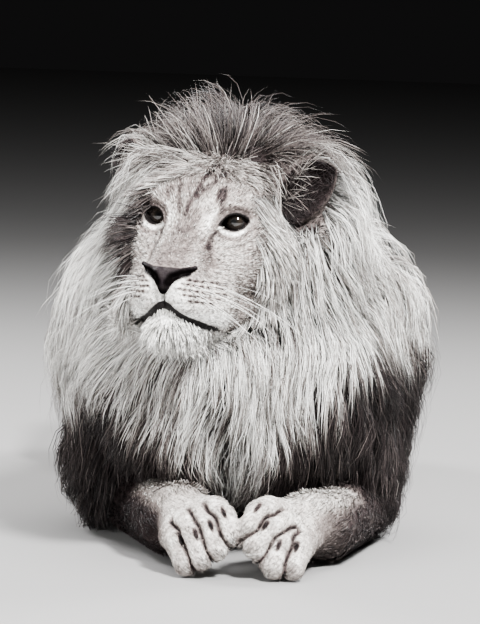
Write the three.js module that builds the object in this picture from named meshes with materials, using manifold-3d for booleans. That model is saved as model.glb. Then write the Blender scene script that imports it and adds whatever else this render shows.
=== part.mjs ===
// A life-size male lion lying on its chest, head turned to its own right, forepaws together.
// Millimetres. +Z is up, the lion faces -Y, and its own left side is +X. The origin is on the
// ground under the middle of the chest. Every solid is the outside of the coat.
import * as THREE from "three";
import { SimplifyModifier } from "three/addons/modifiers/SimplifyModifier.js";
import { mergeVertices } from "three/addons/utils/BufferGeometryUtils.js";
import Module from "manifold-3d";

const wasm = await Module();
wasm.setup();

// ---------------------------------------------------------------- driving dimensions

const GAP = 0.5; // clearance between neighbouring solids
const BODY_COAT = 9; // depth of the short coat on trunk and legs
const FACE_COAT = 4; // depth of the short coat on face and paws

const EYES_AT = [-72, -615, 544]; // midpoint between the eyes
const HEAD_YAW = -17.5; // degrees about Z, towards the lion's right
const HEAD_PITCH = -2.4; // degrees about X, muzzle slightly raised
const HEAD_ROLL = 2; // degrees about Y, left side slightly lower
const EYE_SPREAD = 62.4; // half the distance between the eyeballs' centres
const EYE_DEPTH = 9; // eyeball centre behind the midpoint
const EYE_RADIUS = 19.5;

const CHEST_HALF_WIDTH = 188;
const WITHERS_HEIGHT = 548;
const RUMP_HEIGHT = 500;
const RUMP_REAR = 905;
const HIPS_ASIDE = -24; // the hindquarters lie a little to the lion's right

// ---------------------------------------------------------------- distance fields
// A field is a function of (x, y, z) that is negative inside, in about millimetres.

const radians = THREE.MathUtils.degToRad;

// An ellipsoid with the given centre, radii and turn in degrees about X, Y and Z.
function ball(centre, radii, turn = [0, 0, 0]) {
  const back = new THREE.Matrix4()
    .makeRotationFromEuler(new THREE.Euler(...turn.map(radians)))
    .transpose().elements;
  const [cx, cy, cz] = centre;
  const [rx, ry, rz] = radii;
  return (x, y, z) => {
    const [u, v, w] = [x - cx, y - cy, z - cz];
    const a = (back[0] * u + back[4] * v + back[8] * w) / rx;
    const b = (back[1] * u + back[5] * v + back[9] * w) / ry;
    const c = (back[2] * u + back[6] * v + back[10] * w) / rz;
    const near = Math.hypot(a, b, c);
    const slope = Math.hypot(a / rx, b / ry, c / rz);
    return slope < 1e-9 ? -Math.min(rx, ry, rz) : (near * (near - 1)) / slope;
  };
}

// A rounded cone from point a with radius ra to point b with radius rb.
function bone(a, ra, b, rb) {
  const axis = [b[0] - a[0], b[1] - a[1], b[2] - a[2]];
  const long = axis[0] ** 2 + axis[1] ** 2 + axis[2] ** 2;
  return (x, y, z) => {
    const [u, v, w] = [x - a[0], y - a[1], z - a[2]];
    const along = (u * axis[0] + v * axis[1] + w * axis[2]) / long;
    const t = Math.min(1, Math.max(0, along));
    return Math.hypot(u - t * axis[0], v - t * axis[1], w - t * axis[2]) - (ra + t * (rb - ra));
  };
}

// The smooth union of fields, rounded over about k.
function blend(k, ...fields) {
  return (x, y, z) => {
    let near = fields[0](x, y, z);
    for (let i = 1; i < fields.length; i++) {
      const other = fields[i](x, y, z);
      const h = Math.max(k - Math.abs(near - other), 0) / k;
      near = Math.min(near, other) - (h * h * k) / 4;
    }
    return near;
  };
}

// A field with another taken out of it, the edge rounded over about k.
const carved = (k, field, tool) => {
  const joined = blend(k, (x, y, z) => -field(x, y, z), tool);
  return (x, y, z) => -joined(x, y, z);
};

const grown = (field, by) => (x, y, z) => field(x, y, z) - by;
const bothSides = (make) => [make(1), make(-1)];

const headFrame = new THREE.Matrix4()
  .makeTranslation(...EYES_AT)
  .multiply(new THREE.Matrix4().makeRotationY(radians(HEAD_ROLL)))
  .multiply(new THREE.Matrix4().makeRotationZ(radians(HEAD_YAW)))
  .multiply(new THREE.Matrix4().makeRotationX(radians(HEAD_PITCH)));

// A field given in the head's own frame: origin between the eyes, -Y towards the nose.
function onHead(field) {
  const m = headFrame.clone().invert().elements;
  return (x, y, z) =>
    field(
      m[0] * x + m[4] * y + m[8] * z + m[12],
      m[1] * x + m[5] * y + m[9] * z + m[13],
      m[2] * x + m[6] * y + m[10] * z + m[14],
    );
}

const headPoint = (x, y, z) => new THREE.Vector3(x, y, z).applyMatrix4(headFrame).toArray();

// ---------------------------------------------------------------- surfaces and solids

// The corners of a cell, and the corner pairs that are its edges.
const CORNERS = [...Array(8).keys()].map((i) => [i & 1, (i >> 1) & 1, (i >> 2) & 1]);
const EDGES = [];
for (let i = 0; i < 8; i++)
  for (const bit of [1, 2, 4]) if (!(i & bit)) EDGES.push([i, i | bit]);

// Makes the two outermost layers of samples lie outside, and fills any square of four samples whose inside
// corners touch only across its diagonal, so that the surface closes and never meets itself.
function untangle(value, n) {
  const step = [1, n[0], n[0] * n[1]];
  for (let at = 0; at < value.length; at++) {
    const place = [at % n[0], Math.floor(at / n[0]) % n[1], Math.floor(at / step[2])];
    if (place.some((p, k) => p < 2 || p > n[k] - 3)) value[at] = Math.max(value[at], 1);
  }
  for (let changed = true; changed; ) {
    changed = false;
    for (let at = 0; at < value.length - step[2] - step[1] - 1; at++)
      for (let axis = 0; axis < 3; axis++) {
        const [s, t] = [step[(axis + 1) % 3], step[(axis + 2) % 3]];
        const square = [at, at + s, at + s + t, at + t];
        const [a, b, c, d] = square.map((i) => value[i] < 0);
        if (a !== c || b !== d || a === b) continue;
        const empty = a ? [square[1], square[3]] : [square[0], square[2]];
        const fill = value[empty[0]] < value[empty[1]] ? empty[0] : empty[1];
        value[fill] = -0.1 * Math.abs(value[fill]) - 0.5;
        changed = true;
      }
  }
}

// Surface nets: a closed mesh of the field's zero level inside a box, in cells of the given size.
function surface(field, low, high, cell) {
  const n = low.map((l, k) => Math.ceil((high[k] - l) / cell) + 4);
  const at = (i, k) => low[k] + (i - 1.5) * cell;
  const index = (i, j, k) => i + n[0] * (j + n[1] * k);
  const value = new Float64Array(n[0] * n[1] * n[2]);
  for (let k = 0; k < n[2]; k++)
    for (let j = 0; j < n[1]; j++)
      for (let i = 0; i < n[0]; i++)
        value[index(i, j, k)] = field(at(i, 0), at(j, 1), at(k, 2)) || 1e-6;
  untangle(value, n);
  const positions = [];
  const pointOf = new Map();
  for (let k = 0; k < n[2] - 1; k++)
    for (let j = 0; j < n[1] - 1; j++)
      for (let i = 0; i < n[0] - 1; i++) {
        const corner = CORNERS.map(([a, b, c]) => value[index(i + a, j + b, k + c)]);
        const sum = [0, 0, 0];
        let crossings = 0;
        for (const [a, b] of EDGES) {
          if (corner[a] < 0 === corner[b] < 0) continue;
          const t = corner[a] / (corner[a] - corner[b]);
          for (let m = 0; m < 3; m++)
            sum[m] += CORNERS[a][m] + t * (CORNERS[b][m] - CORNERS[a][m]);
          crossings++;
        }
        if (!crossings) continue;
        pointOf.set(index(i, j, k), positions.length / 3);
        [i, j, k].forEach((c, m) => positions.push(at(c + sum[m] / crossings, m)));
      }
  const faces = [];
  const step = [1, n[0], n[0] * n[1]];
  for (let k = 1; k < n[2] - 1; k++)
    for (let j = 1; j < n[1] - 1; j++)
      for (let i = 1; i < n[0] - 1; i++)
        for (let axis = 0; axis < 3; axis++) {
          const here = index(i, j, k);
          const inside = value[here] < 0;
          if (inside === value[here + step[axis]] < 0) continue;
          const [s, t] = [step[(axis + 1) % 3], step[(axis + 2) % 3]];
          const ring = [here - s - t, here - t, here, here - s].map((c) => pointOf.get(c));
          if (!inside) ring.reverse();
          faces.push(ring[0], ring[1], ring[2], ring[0], ring[2], ring[3]);
        }
  const geometry = new THREE.BufferGeometry();
  geometry.setAttribute("position", new THREE.Float32BufferAttribute(positions, 3));
  geometry.setIndex(faces);
  return geometry;
}

// A geometry with position only, and one vertex where several met.
function welded(geometry) {
  const bare = geometry.clone();
  bare.deleteAttribute("normal");
  bare.deleteAttribute("uv");
  return mergeVertices(bare, 1e-3);
}

// A closed geometry as a solid that can be cut and joined.
function solidOf(geometry) {
  const { attributes, index } = welded(geometry);
  return new wasm.Manifold(
    new wasm.Mesh({
      numProp: 3,
      vertProperties: attributes.position.array,
      triVerts: new Uint32Array(index.array),
    }),
  );
}

function geometryOf(solid) {
  const mesh = solid.getMesh();
  const positions = new Float32Array(mesh.numVert * 3);
  for (let i = 0; i < mesh.numVert; i++)
    positions.set(mesh.vertProperties.subarray(i * mesh.numProp, i * mesh.numProp + 3), i * 3);
  const geometry = new THREE.BufferGeometry();
  geometry.setAttribute("position", new THREE.BufferAttribute(positions, 3));
  geometry.setIndex([...mesh.triVerts]);
  geometry.computeVertexNormals();
  return geometry;
}

// A block between two corners.
function block(low, high) {
  const size = low.map((l, k) => high[k] - l);
  const middle = low.map((l, k) => (l + high[k]) / 2);
  return solidOf(new THREE.BoxGeometry(...size).translate(...middle));
}

const FAR = 3000;
const aboveGround = block([-FAR, -FAR, 0], [FAR, FAR, FAR]);

// The zero level of a field inside a box, sampled in cells and then thinned to about the given
// number of facets, which gather where the shape bends.
async function shape(field, [low, high], cell, facets) {
  const fine = surface(field, low, high, cell);
  const points = fine.attributes.position.count;
  return new SimplifyModifier().modify(fine, Math.max(0, points - Math.round(facets / 2 + 2)));
}

// The room a shape takes up: the shape with every point moved outwards by the gap.
function room(geometry, gap = GAP) {
  const wide = welded(geometry);
  wide.computeVertexNormals();
  const { position, normal } = wide.attributes;
  for (let i = 0; i < position.count; i++)
    position.setXYZ(
      i,
      position.getX(i) + gap * normal.getX(i),
      position.getY(i) + gap * normal.getY(i),
      position.getZ(i) + gap * normal.getZ(i),
    );
  return solidOf(wide);
}

// The two sides of a solid at a block: [inside it, outside it with a gap].
function partedBy(solid, low, high) {
  const inside = solid.intersect(block(low, high));
  const outside = solid.subtract(
    block(
      low.map((v) => v - GAP),
      high.map((v) => v + GAP),
    ),
  );
  return [inside, outside];
}

const without = (solid, ...cutters) => cutters.reduce((left, cut) => left.subtract(cut), solid);

// The largest of the separate bodies of a solid, which drops slivers left by a cut.
const largest = (solid) => solid.decompose().sort((a, b) => b.volume() - a.volume())[0];

// ---------------------------------------------------------------- the head

const skull = blend(
  26,
  ball([0, 96, 8], [98, 132, 88]), // braincase and temples
  ball([0, 34, 26], [66, 46, 44]), // forehead
  ...bothSides((s) => ball([s * 56, 15, 27], [38, 30, 21])), // brow ridges
  ...bothSides((s) => bone([s * 17, 8, -4], 32, [s * 15, -106, -92], 28)), // bridge of the nose
  ...bothSides((s) => bone([s * 26, -109, -115], 27, [s * 52, -50, -120], 38)), // whisker pads
  ...bothSides((s) => bone([s * 22, -108, -130], 17, [s * 58, -44, -146], 26)), // upper lips
  ...bothSides((s) => ball([s * 52, -6, -76], [46, 52, 46])), // below the eyes
  ...bothSides((s) => ball([s * 84, 54, -52], [46, 80, 68])), // cheeks
  ball([0, -90, -167], [35, 37, 26]), // chin
  ...bothSides((s) => bone([s * 26, -66, -166], 24, [s * 78, 74, -112], 48)), // lower jaw
);
const sockets = blend(
  1,
  ...bothSides((s) => ball([s * 70, -27, 0], [31, 25, 18], [0, 0, s * 36])),
);
const headField = onHead(carved(10, grown(skull, FACE_COAT), sockets));
const headBox = [
  [-300, -840, 290],
  [190, -320, 710],
];
const LIP_LINE = { front: [-150, -130], corner: [-40, -166] }; // y and z on the head

const noseLeather = blend(
  6,
  ball([0, -133, -90], [18, 16, 14]),
  ...bothSides((s) => bone([s * 13, -135, -85], 12, [s * 41, -121, -76], 5.5)),
  ball([0, -139, -98], [12, 10, 12]),
);

// An ear: a thick cup open to the front and side, with a rounded rim.
const EAR = { at: [136, 122, 62], tall: 68, wide: 45, deep: 28, wall: 8 };

function earOn(s) {
  const frame = headFrame
    .clone()
    .multiply(new THREE.Matrix4().makeTranslation(s * EAR.at[0], EAR.at[1], EAR.at[2]))
    .multiply(new THREE.Matrix4().makeRotationY(radians(s * 32)))
    .multiply(new THREE.Matrix4().makeRotationZ(radians(s * 24)));
  const egg = (shrink, forward) =>
    new THREE.SphereGeometry(1, 10, 7)
      .scale(EAR.wide - shrink, EAR.deep - shrink / 2, EAR.tall - shrink)
      .translate(0, forward, 0)
      .applyMatrix4(frame);
  const hollow = solidOf(egg(EAR.wall, -EAR.deep * 0.75));
  return { cup: solidOf(egg(0, 0)).subtract(hollow), around: solidOf(egg(-2.5, 0)) };
}

// ---------------------------------------------------------------- trunk, neck and thighs

const aside = (field) => (x, y, z) => {
  const t = THREE.MathUtils.smoothstep(y, 0, 650);
  return field(x - HIPS_ASIDE * t, y, z);
};

const torsoField = aside(
  grown(
    blend(
      70,
      ball([0, -70, 262], [CHEST_HALF_WIDTH - BODY_COAT, 300, 262]), // ribcage
      ball([0, -110, 430], [115, 190, WITHERS_HEIGHT - BODY_COAT - 430]), // withers
      bone([0, 0, 395], 138, [0, 560, 362], 122), // back and loins
      ball([0, 330, 205], [172, 380, 204]), // belly
      ball([0, 690, 292], [150, RUMP_REAR - BODY_COAT - 690, RUMP_HEIGHT - BODY_COAT - 292]), // rump
      ...bothSides((s) => ball([s * 140, -190, 250], [82, 150, 190], [12, 0, 0])), // shoulders
      ...bothSides((s) => bone([s * 112, 672, 262], 128, [s * 222, 445, 152], 86)), // thighs
      ...bothSides((s) => bone([s * 165, -120, 190], 72, [s * 168, -230, 78], 62)), // upper arms
      bone([0, -170, 350], 165, [-18, -455, 492], 96), // neck
    ),
    BODY_COAT,
  ),
);
const torsoBox = [
  [-380, -620, -40],
  [380, 960, 700],
];

// ---------------------------------------------------------------- legs
// Each foreleg: elbow, wrist, the raised bulge of the wrist, then each toe's knuckle and tip
// from the inner toe to the outer one. Both paws lean on their outer toes and meet in front.

const FORELEGS = {
  right: {
    elbow: [-176, -250, 62],
    wrist: [-100, -590, 62],
    bulge: [-84, -632, 76],
    toes: [
      [[-29, -716, 96], [-5, -766, 66]],
      [[-49, -728, 84], [-25, -780, 45]],
      [[-71, -732, 74], [-48, -784, 30]],
      [[-91, -726, 57], [-70, -778, 20]],
    ],
  },
  left: {
    elbow: [222, -250, 62],
    wrist: [144, -585, 58],
    bulge: [124, -624, 68],
    toes: [
      [[55, -714, 99], [26, -764, 78]],
      [[73, -728, 78], [36, -780, 51]],
      [[83, -738, 56], [66, -788, 21]],
      [[107, -730, 48], [95, -784, 20]],
    ],
  },
};
const TOE = { root: 20.5, tip: 18.5, arch: [0, -3, 8] }; // the middle joint is raised by the arch
const WEB = { radius: 17, back: [0, 8, 2] }; // the flesh between neighbouring toes

const toeJoint = ([knuckle, tip]) => knuckle.map((v, k) => 0.55 * v + 0.45 * tip[k] + TOE.arch[k]);

function toeField([knuckle, tip]) {
  const joint = toeJoint([knuckle, tip]);
  return blend(6, bone(knuckle, TOE.root, joint, TOE.root), bone(joint, TOE.root, tip, TOE.tip));
}

function webField(toe, next) {
  const behind = (at) => at.map((v, k) => v + WEB.back[k]);
  const web = (a, b) => bone(behind(a), WEB.radius, behind(b), WEB.radius);
  return blend(6, web(toeJoint(toe), toeJoint(next)), web(toe[1], next[1]));
}

function forelegField({ elbow, wrist, bulge, toes }) {
  const limb = blend(24, bone(elbow, 60, wrist, 52), ball(bulge, [50, 46, 48]));
  const palm = blend(14, ...toes.map(([knuckle]) => bone(bulge, 36, knuckle, TOE.root + 1)));
  const webs = toes.slice(1).map((toe, k) => webField(toes[k], toe));
  const paw = blend(10, palm, ...toes.map(toeField), ...webs);
  return blend(12, grown(limb, BODY_COAT - 3), grown(paw, FACE_COAT));
}

const HIND = {
  knee: [212, 385, 112],
  hock: [232, 728, 52],
  heel: [236, 722, 40],
  ball: [250, 470, 30],
  toes: [252, 428, 26],
};

function hindlegField(s) {
  const on = ([x, y, z]) => [s * x, y, z];
  const toes = [-1.5, -0.5, 0.5, 1.5].map((i) =>
    ball(on([HIND.toes[0] + i * 21, HIND.toes[1] - 12 + 5 * i * i, 23]), [14, 27, 20]),
  );
  const shank = bone(on(HIND.knee), 66, on(HIND.hock), 34);
  const foot = blend(10, bone(on(HIND.heel), 33, on(HIND.ball), 28), ...toes);
  return aside(blend(10, grown(shank, BODY_COAT - 2), grown(foot, FACE_COAT)));
}

// ---------------------------------------------------------------- the tail

const tailCurve = new THREE.CatmullRomCurve3(
  [
    [-24, 858, 280],
    [-16, 935, 150],
    [10, 1015, 52],
    [80, 1075, 26],
    [170, 1075, 24],
    [235, 1005, 24],
    [235, 915, 24],
    [170, 870, 24],
  ].map((p) => new THREE.Vector3(...p)),
);
const TAIL_ROOT = 34;
const TAIL_TIP = 17;
const TUFT_AT = 0.86; // where the tuft begins along the tail

const tailAt = (t) => tailCurve.getPoint(t).toArray();
const tailRadius = (t) => TAIL_ROOT + (TAIL_TIP - TAIL_ROOT) * Math.min(1, t * 1.5);

const tailField = blend(
  6,
  ...[...Array(16).keys()].map((i) => {
    const [a, b] = [(i / 16) * 0.92, ((i + 1) / 16) * 0.92];
    return bone(tailAt(a), tailRadius(a), tailAt(b), tailRadius(b));
  }),
);
const tuftField = blend(
  14,
  bone(tailAt(TUFT_AT), 18, tailAt(0.94), 34),
  bone(tailAt(0.94), 34, [100, 825, 18], 9),
);
const tailBox = [
  [-80, 780, -20],
  [300, 1130, 340],
];

// ---------------------------------------------------------------- the mane

const maneField = blend(
  46,
  onHead(ball([4, 150, 76], [156, 118, 140])), // crown
  onHead(ball([24, 172, -30], [210, 132, 192])), // ruff round the face, swept off its far side
  ball([4, -300, 330], [312, 270, 270]), // over the shoulders
  ball([0, -470, 275], [250, 185, 190]), // breast
  bone([0, -585, 300], 82, [4, -632, 152], 34), // point of the breast
  ball([0, -110, 455], [185, 230, 128]), // nape to withers
  bone([-34, -400, 596], 112, [-4, -150, 478], 118), // crest of the neck
  ...bothSides((s) => ball([s * 196, -270, 165], [92, 190, 158])), // over the elbows
);
const maneBox = [
  [-380, -760, 15],
  [380, 200, 800],
];

// ---------------------------------------------------------------- building the solids

const solids = new Map();
const keep = (name, solid) => solids.set(name, largest(solid));

// Head: nose leather, eyes and ears are set into it, and the lower jaw is parted at the lips.
const headShape = await shape(headField, headBox, 10, 780);
const noseShape = await shape(onHead(noseLeather), headBox, 6, 100);
const eyeShapes = bothSides((s) =>
  new THREE.SphereGeometry(EYE_RADIUS, 9, 6).translate(...headPoint(s * EYE_SPREAD, EYE_DEPTH, 0)),
);
const ears = bothSides(earOn);
const headSolid = without(
  solidOf(headShape),
  room(noseShape),
  ...eyeShapes.map((eye) => room(eye)),
  ...ears.map((ear) => ear.around),
);
const lipSlope = Math.atan2(
  LIP_LINE.corner[1] - LIP_LINE.front[1],
  LIP_LINE.corner[0] - LIP_LINE.front[0],
);
function belowLips(drop) {
  const slab = new THREE.BoxGeometry(600, 900, 400).translate(0, 0, -200 - drop);
  slab.rotateX(lipSlope).translate(0, ...LIP_LINE.front).applyMatrix4(headFrame);
  return solidOf(slab);
}
keep("head", headSolid.subtract(belowLips(-GAP)));
keep("jaw", headSolid.intersect(belowLips(0)));
keep("nose", solidOf(noseShape));
keep("eye_left", solidOf(eyeShapes[0]));
keep("eye_right", solidOf(eyeShapes[1]));
keep("ear_left", ears[0].cup);
keep("ear_right", ears[1].cup);

// Legs, each parted at the wrist or hock. The two forepaws touch at the midline.
const foreShapes = {};
const halves = {
  right: block([-FAR, -FAR, -FAR], [-GAP / 2, FAR, FAR]),
  left: block([GAP / 2, -FAR, -FAR], [FAR, FAR, FAR]),
};
for (const [side, leg] of Object.entries(FORELEGS)) {
  const box = [
    [Math.min(leg.elbow[0], leg.toes[0][1][0]) - 90, -860, -30],
    [Math.max(leg.elbow[0], leg.toes[0][1][0]) + 90, -140, 200],
  ];
  foreShapes[side] = await shape(forelegField(leg), box, 9, 430);
  const whole = solidOf(foreShapes[side]).intersect(halves[side]);
  const [paw, arm] = partedBy(whole, [-FAR, -FAR, -FAR], [FAR, leg.bulge[1] - 18, FAR]);
  keep(`forepaw_${side}`, paw);
  keep(`forearm_${side}`, arm);
}
const hindShapes = {};
for (const s of [1, -1]) {
  const side = s > 0 ? "left" : "right";
  const box = [
    [s > 0 ? 60 : -400, 290, -30],
    [s > 0 ? 400 : -60, 830, 240],
  ];
  hindShapes[side] = await shape(hindlegField(s), box, 12, 220);
}

// Where hair lies over the body it keeps clear of it by a little more than the usual gap.
const HAIR_GAP = 8;
const underHair = (field, box, cell, facets) => shape(grown(field, HAIR_GAP), box, cell, facets);
const bareHead = await underHair(headField, headBox, 14, 220);
const bareTorso = await underHair(torsoField, torsoBox, 40, 220);
const bareForelegs = [
  await underHair(forelegField(FORELEGS.left), maneBox, 24, 90),
  await underHair(forelegField(FORELEGS.right), maneBox, 24, 90),
];

// Trunk with the neck, thighs and upper arms, parted by blocks.
const torsoShape = await shape(torsoField, torsoBox, 26, 560);
const tailShape = await shape(tailField, tailBox, 9, 190);
let trunk = without(
  solidOf(torsoShape),
  ...bareForelegs.map(solidOf),
  ...Object.values(foreShapes).map((g) => room(g)),
  ...Object.values(hindShapes).map((g) => room(g)),
  room(tailShape),
  solidOf(bareHead),
  room(headShape),
  ...ears.map((ear) => ear.around),
);
const sideBlocks = {
  thigh: [
    [122, 320, -60],
    [FAR, 800, 420],
  ],
  upper_arm: [
    [132, -FAR, -60],
    [FAR, 10, 330],
  ],
};
for (const s of [1, -1]) {
  const side = s > 0 ? "left" : "right";
  for (const [name, [low, high]] of Object.entries(sideBlocks)) {
    const shift = name === "thigh" ? HIPS_ASIDE : 0;
    const [inside, outside] = partedBy(
      trunk,
      [s > 0 ? low[0] + shift : -FAR, low[1], low[2]],
      [s > 0 ? FAR : -low[0] + shift, high[1], high[2]],
    );
    keep(`${name}_${side}`, inside);
    trunk = outside;
  }
  const leg = solidOf(hindShapes[side]);
  const [foot, shank] = partedBy(leg, [-FAR, -FAR, -FAR], [FAR, FAR, 62]);
  keep(`hindfoot_${side}`, foot);
  keep(`shank_${side}`, shank);
}
const [front, hind] = partedBy(trunk, [-FAR, -FAR, -FAR], [FAR, 190, FAR]);
const [abdomen, rump] = partedBy(hind, [-FAR, -FAR, -FAR], [FAR, 520, FAR]);
const [neck, chest] = partedBy(front, [-FAR, -FAR, 330], [FAR, -250, FAR]);
keep("neck", neck);
keep("chest", chest);
keep("abdomen", abdomen);
keep("rump", rump);

// Tail in three lengths and a tuft.
const tuftShape = await shape(tuftField, tailBox, 9, 70);
let tail = solidOf(tailShape).subtract(room(tuftShape));
for (const [name, low, high] of [
  ["tail_root", [-FAR, -FAR, 62], [FAR, FAR, FAR]],
  ["tail_middle", [-FAR, 930, -FAR], [FAR, FAR, FAR]],
]) {
  const [inside, outside] = partedBy(tail, low, high);
  keep(name, inside);
  tail = outside;
}
keep("tail_end", tail);
keep("tail_tuft", solidOf(tuftShape));

// The mane is one mass of hair, parted into the pieces a person would name.
const maneShape = await shape(maneField, maneBox, 26, 520);
const hair = without(
  solidOf(maneShape),
  ...[bareHead, bareTorso, ...bareForelegs].map(solidOf),
  ...[headShape, torsoShape, ...Object.values(foreShapes)].map((g) => room(g)),
  ...ears.map((ear) => ear.around),
);
const crownBase = headPoint(0, 0, 72)[2];
const [crown, lower] = partedBy(hair, [-FAR, -FAR, crownBase], [FAR, -360, FAR]);
const [nape, fore] = partedBy(lower, [-FAR, -230, 330], [FAR, FAR, FAR]);
const [breast, sides] = partedBy(fore, [-120, -FAR, -FAR], [125, FAR, FAR]);
const [sideLeft, sideRight] = partedBy(sides, [0, -FAR, -FAR], [FAR, FAR, FAR]);
keep("mane_crown", crown);
keep("mane_nape", nape);
keep("mane_breast", breast);
keep("mane_left", sideLeft);
keep("mane_right", sideRight);

// ---------------------------------------------------------------- materials and the scene graph

const paint = (color, roughness) => new THREE.MeshStandardMaterial({ color, roughness, metalness: 0 });
const COAT = paint(0xb5a58c, 0.85);
const MANE = paint(0xd6cdbb, 0.8);
const DARK_MANE = paint(0x4a3c36, 0.85);
const NOSE = paint(0x2c2324, 0.5);
const EYE = paint(0x4a3a22, 0.08);

function materialOf(name) {
  if (name.startsWith("mane")) return MANE;
  if (name === "tail_tuft") return DARK_MANE;
  if (name === "nose") return NOSE;
  if (name.startsWith("eye")) return EYE;
  return COAT;
}

const lion = new THREE.Group();
for (const [name, solid] of solids) {
  const mesh = new THREE.Mesh(geometryOf(solid.intersect(aboveGround)), materialOf(name));
  mesh.name = name;
  lion.add(mesh);
}

export default lion;
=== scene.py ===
"""A life-size male lion lying with its forepaws together: skin, eyes, coat, mane, light, camera.

Lengths are millimetres in the lion's frame until a mesh is made, which is in metres. The lion
faces -Y, its left is +X and +Z is up."""

import math
import time

import bmesh
import bpy
import numpy as np
from mathutils import Matrix, Vector


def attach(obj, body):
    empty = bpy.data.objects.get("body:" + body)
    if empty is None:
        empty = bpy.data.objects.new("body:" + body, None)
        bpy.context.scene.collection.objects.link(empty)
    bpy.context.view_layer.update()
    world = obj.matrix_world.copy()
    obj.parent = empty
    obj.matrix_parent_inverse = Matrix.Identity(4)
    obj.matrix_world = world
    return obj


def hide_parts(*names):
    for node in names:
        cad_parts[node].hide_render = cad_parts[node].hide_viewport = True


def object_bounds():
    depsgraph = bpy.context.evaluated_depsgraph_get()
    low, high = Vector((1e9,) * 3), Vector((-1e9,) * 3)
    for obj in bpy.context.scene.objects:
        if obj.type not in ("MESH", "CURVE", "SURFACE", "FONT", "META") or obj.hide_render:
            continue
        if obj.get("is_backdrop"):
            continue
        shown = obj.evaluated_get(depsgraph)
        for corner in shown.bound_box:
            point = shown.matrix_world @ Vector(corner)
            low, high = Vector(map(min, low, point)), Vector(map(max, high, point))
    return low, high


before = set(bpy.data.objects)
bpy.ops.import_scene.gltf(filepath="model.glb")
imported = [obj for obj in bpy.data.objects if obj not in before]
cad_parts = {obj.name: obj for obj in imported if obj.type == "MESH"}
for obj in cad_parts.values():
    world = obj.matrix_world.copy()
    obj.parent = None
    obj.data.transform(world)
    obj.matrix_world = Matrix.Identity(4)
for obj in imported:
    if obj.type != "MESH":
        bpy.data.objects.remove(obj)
cad_low, cad_high = (tuple(v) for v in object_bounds())
began = time.time()
rng = np.random.default_rng(7)


def note(text):
    print(f"{time.time() - began:6.1f}s {text}", flush=True)


# ------------------------------------------------------------------ a material's nodes


class Look:
    """A material, whose nodes are made by short calls."""

    def __init__(self, name, **values):
        self.material = bpy.data.materials.new(name)
        self.material.use_nodes = True
        self.tree = self.material.node_tree
        self.shader = self.tree.nodes["Principled BSDF"]
        for key, value in values.items():
            self.shader.inputs[key.replace("_", " ")].default_value = value

    def node(self, kind, inputs=(), **settings):
        made = self.tree.nodes.new(kind)
        for key, value in settings.items():
            setattr(made, key, value)
        for key, value in dict(inputs).items():
            self.feed(made, key, value)
        return made

    def feed(self, made, key, value):
        if isinstance(value, bpy.types.NodeSocket):
            self.tree.links.new(value, made.inputs[key])
        else:
            made.inputs[key].default_value = value

    def ramp(self, factor, stops):
        made = self.tree.nodes.new("ShaderNodeValToRGB")
        while len(made.color_ramp.elements) < len(stops):
            made.color_ramp.elements.new(0.5)
        for element, (at, colour) in zip(made.color_ramp.elements, stops):
            colour = colour if isinstance(colour, tuple) else (colour,) * 3
            element.position, element.color = at, (*colour, 1)
        self.tree.links.new(factor, made.inputs[0])
        return made.outputs[0]

    def mix(self, share, a, b, kind="MIX"):
        made = self.node("ShaderNodeMix", {0: share, 6: a, 7: b}, data_type="RGBA", blend_type=kind)
        return made.outputs[2]

    def times(self, a, b):
        return self.mix(1.0, a, b, "MULTIPLY")

    def attribute(self, name="coat"):
        data = self.node("ShaderNodeAttribute", attribute_name=name)
        return self.node("ShaderNodeSeparateColor", {0: data.outputs["Color"]}).outputs

    def where(self):
        return self.node("ShaderNodeTexCoord").outputs["Object"]

    def noise(self, scale, detail=3.0, rough=0.6, at=None):
        made = self.node(
            "ShaderNodeTexNoise",
            {"Vector": at or self.where(), "Scale": scale, "Detail": detail, "Roughness": rough},
        )
        return made.outputs["Fac"]

    def bump(self, height, strength, distance, under=None):
        made = self.node(
            "ShaderNodeBump", {"Height": height, "Strength": strength, "Distance": distance}
        )
        if under is not None:
            self.feed(made, "Normal", under)
        return made.outputs[0]

    def colour(self, value):
        self.feed(self.shader, "Base Color", value)


# ------------------------------------------------------------------ floor, light and camera

FLOOR = 30  # metres from the middle to each side
floor_mesh = bpy.data.meshes.new("floor")
corners = [(x, y, 0) for y in (-FLOOR, FLOOR) for x in (-FLOOR, FLOOR)]
floor_mesh.from_pydata(corners, [], [(0, 1, 3, 2)])
pale = Look("pale_floor", Base_Color=(0.16, 0.157, 0.155, 1), Roughness=0.7)
floor_mesh.materials.append(pale.material)
floor = bpy.data.objects.new("floor", floor_mesh)
bpy.context.scene.collection.objects.link(floor)
floor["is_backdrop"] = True

world = bpy.data.worlds.new("studio")
bpy.context.scene.world = world
world.use_nodes = True
sky = world.node_tree.nodes["Background"].inputs
sky["Color"].default_value, sky["Strength"].default_value = (0.20, 0.195, 0.20, 1), 0.03


LIT = Vector((0, -0.3, 0.35))  # where the lamps point


def lamp(name, at, size, power):
    data = bpy.data.lights.new(name, "AREA")
    data.shape, data.size, data.energy = "DISK", size, power
    ob = bpy.data.objects.new(name, data)
    ob.location = at
    ob.rotation_euler = (LIT - Vector(at)).to_track_quat("-Z", "Y").to_euler()
    bpy.context.scene.collection.objects.link(ob)
    return ob


lamp("key", (1.5, -3.5, 3.7), 0.8, 1750)
lamp("fill", (-2.8, -4.2, 1.2), 2.4, 420).visible_glossy = False
lamp("top", (0.0, -0.6, 4.6), 3.4, 560).visible_glossy = False
lamp("rim_left", (2.6, 2.2, 2.6), 1.2, 420)
lamp("rim_right", (-2.6, 2.0, 2.6), 1.2, 420)

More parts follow.
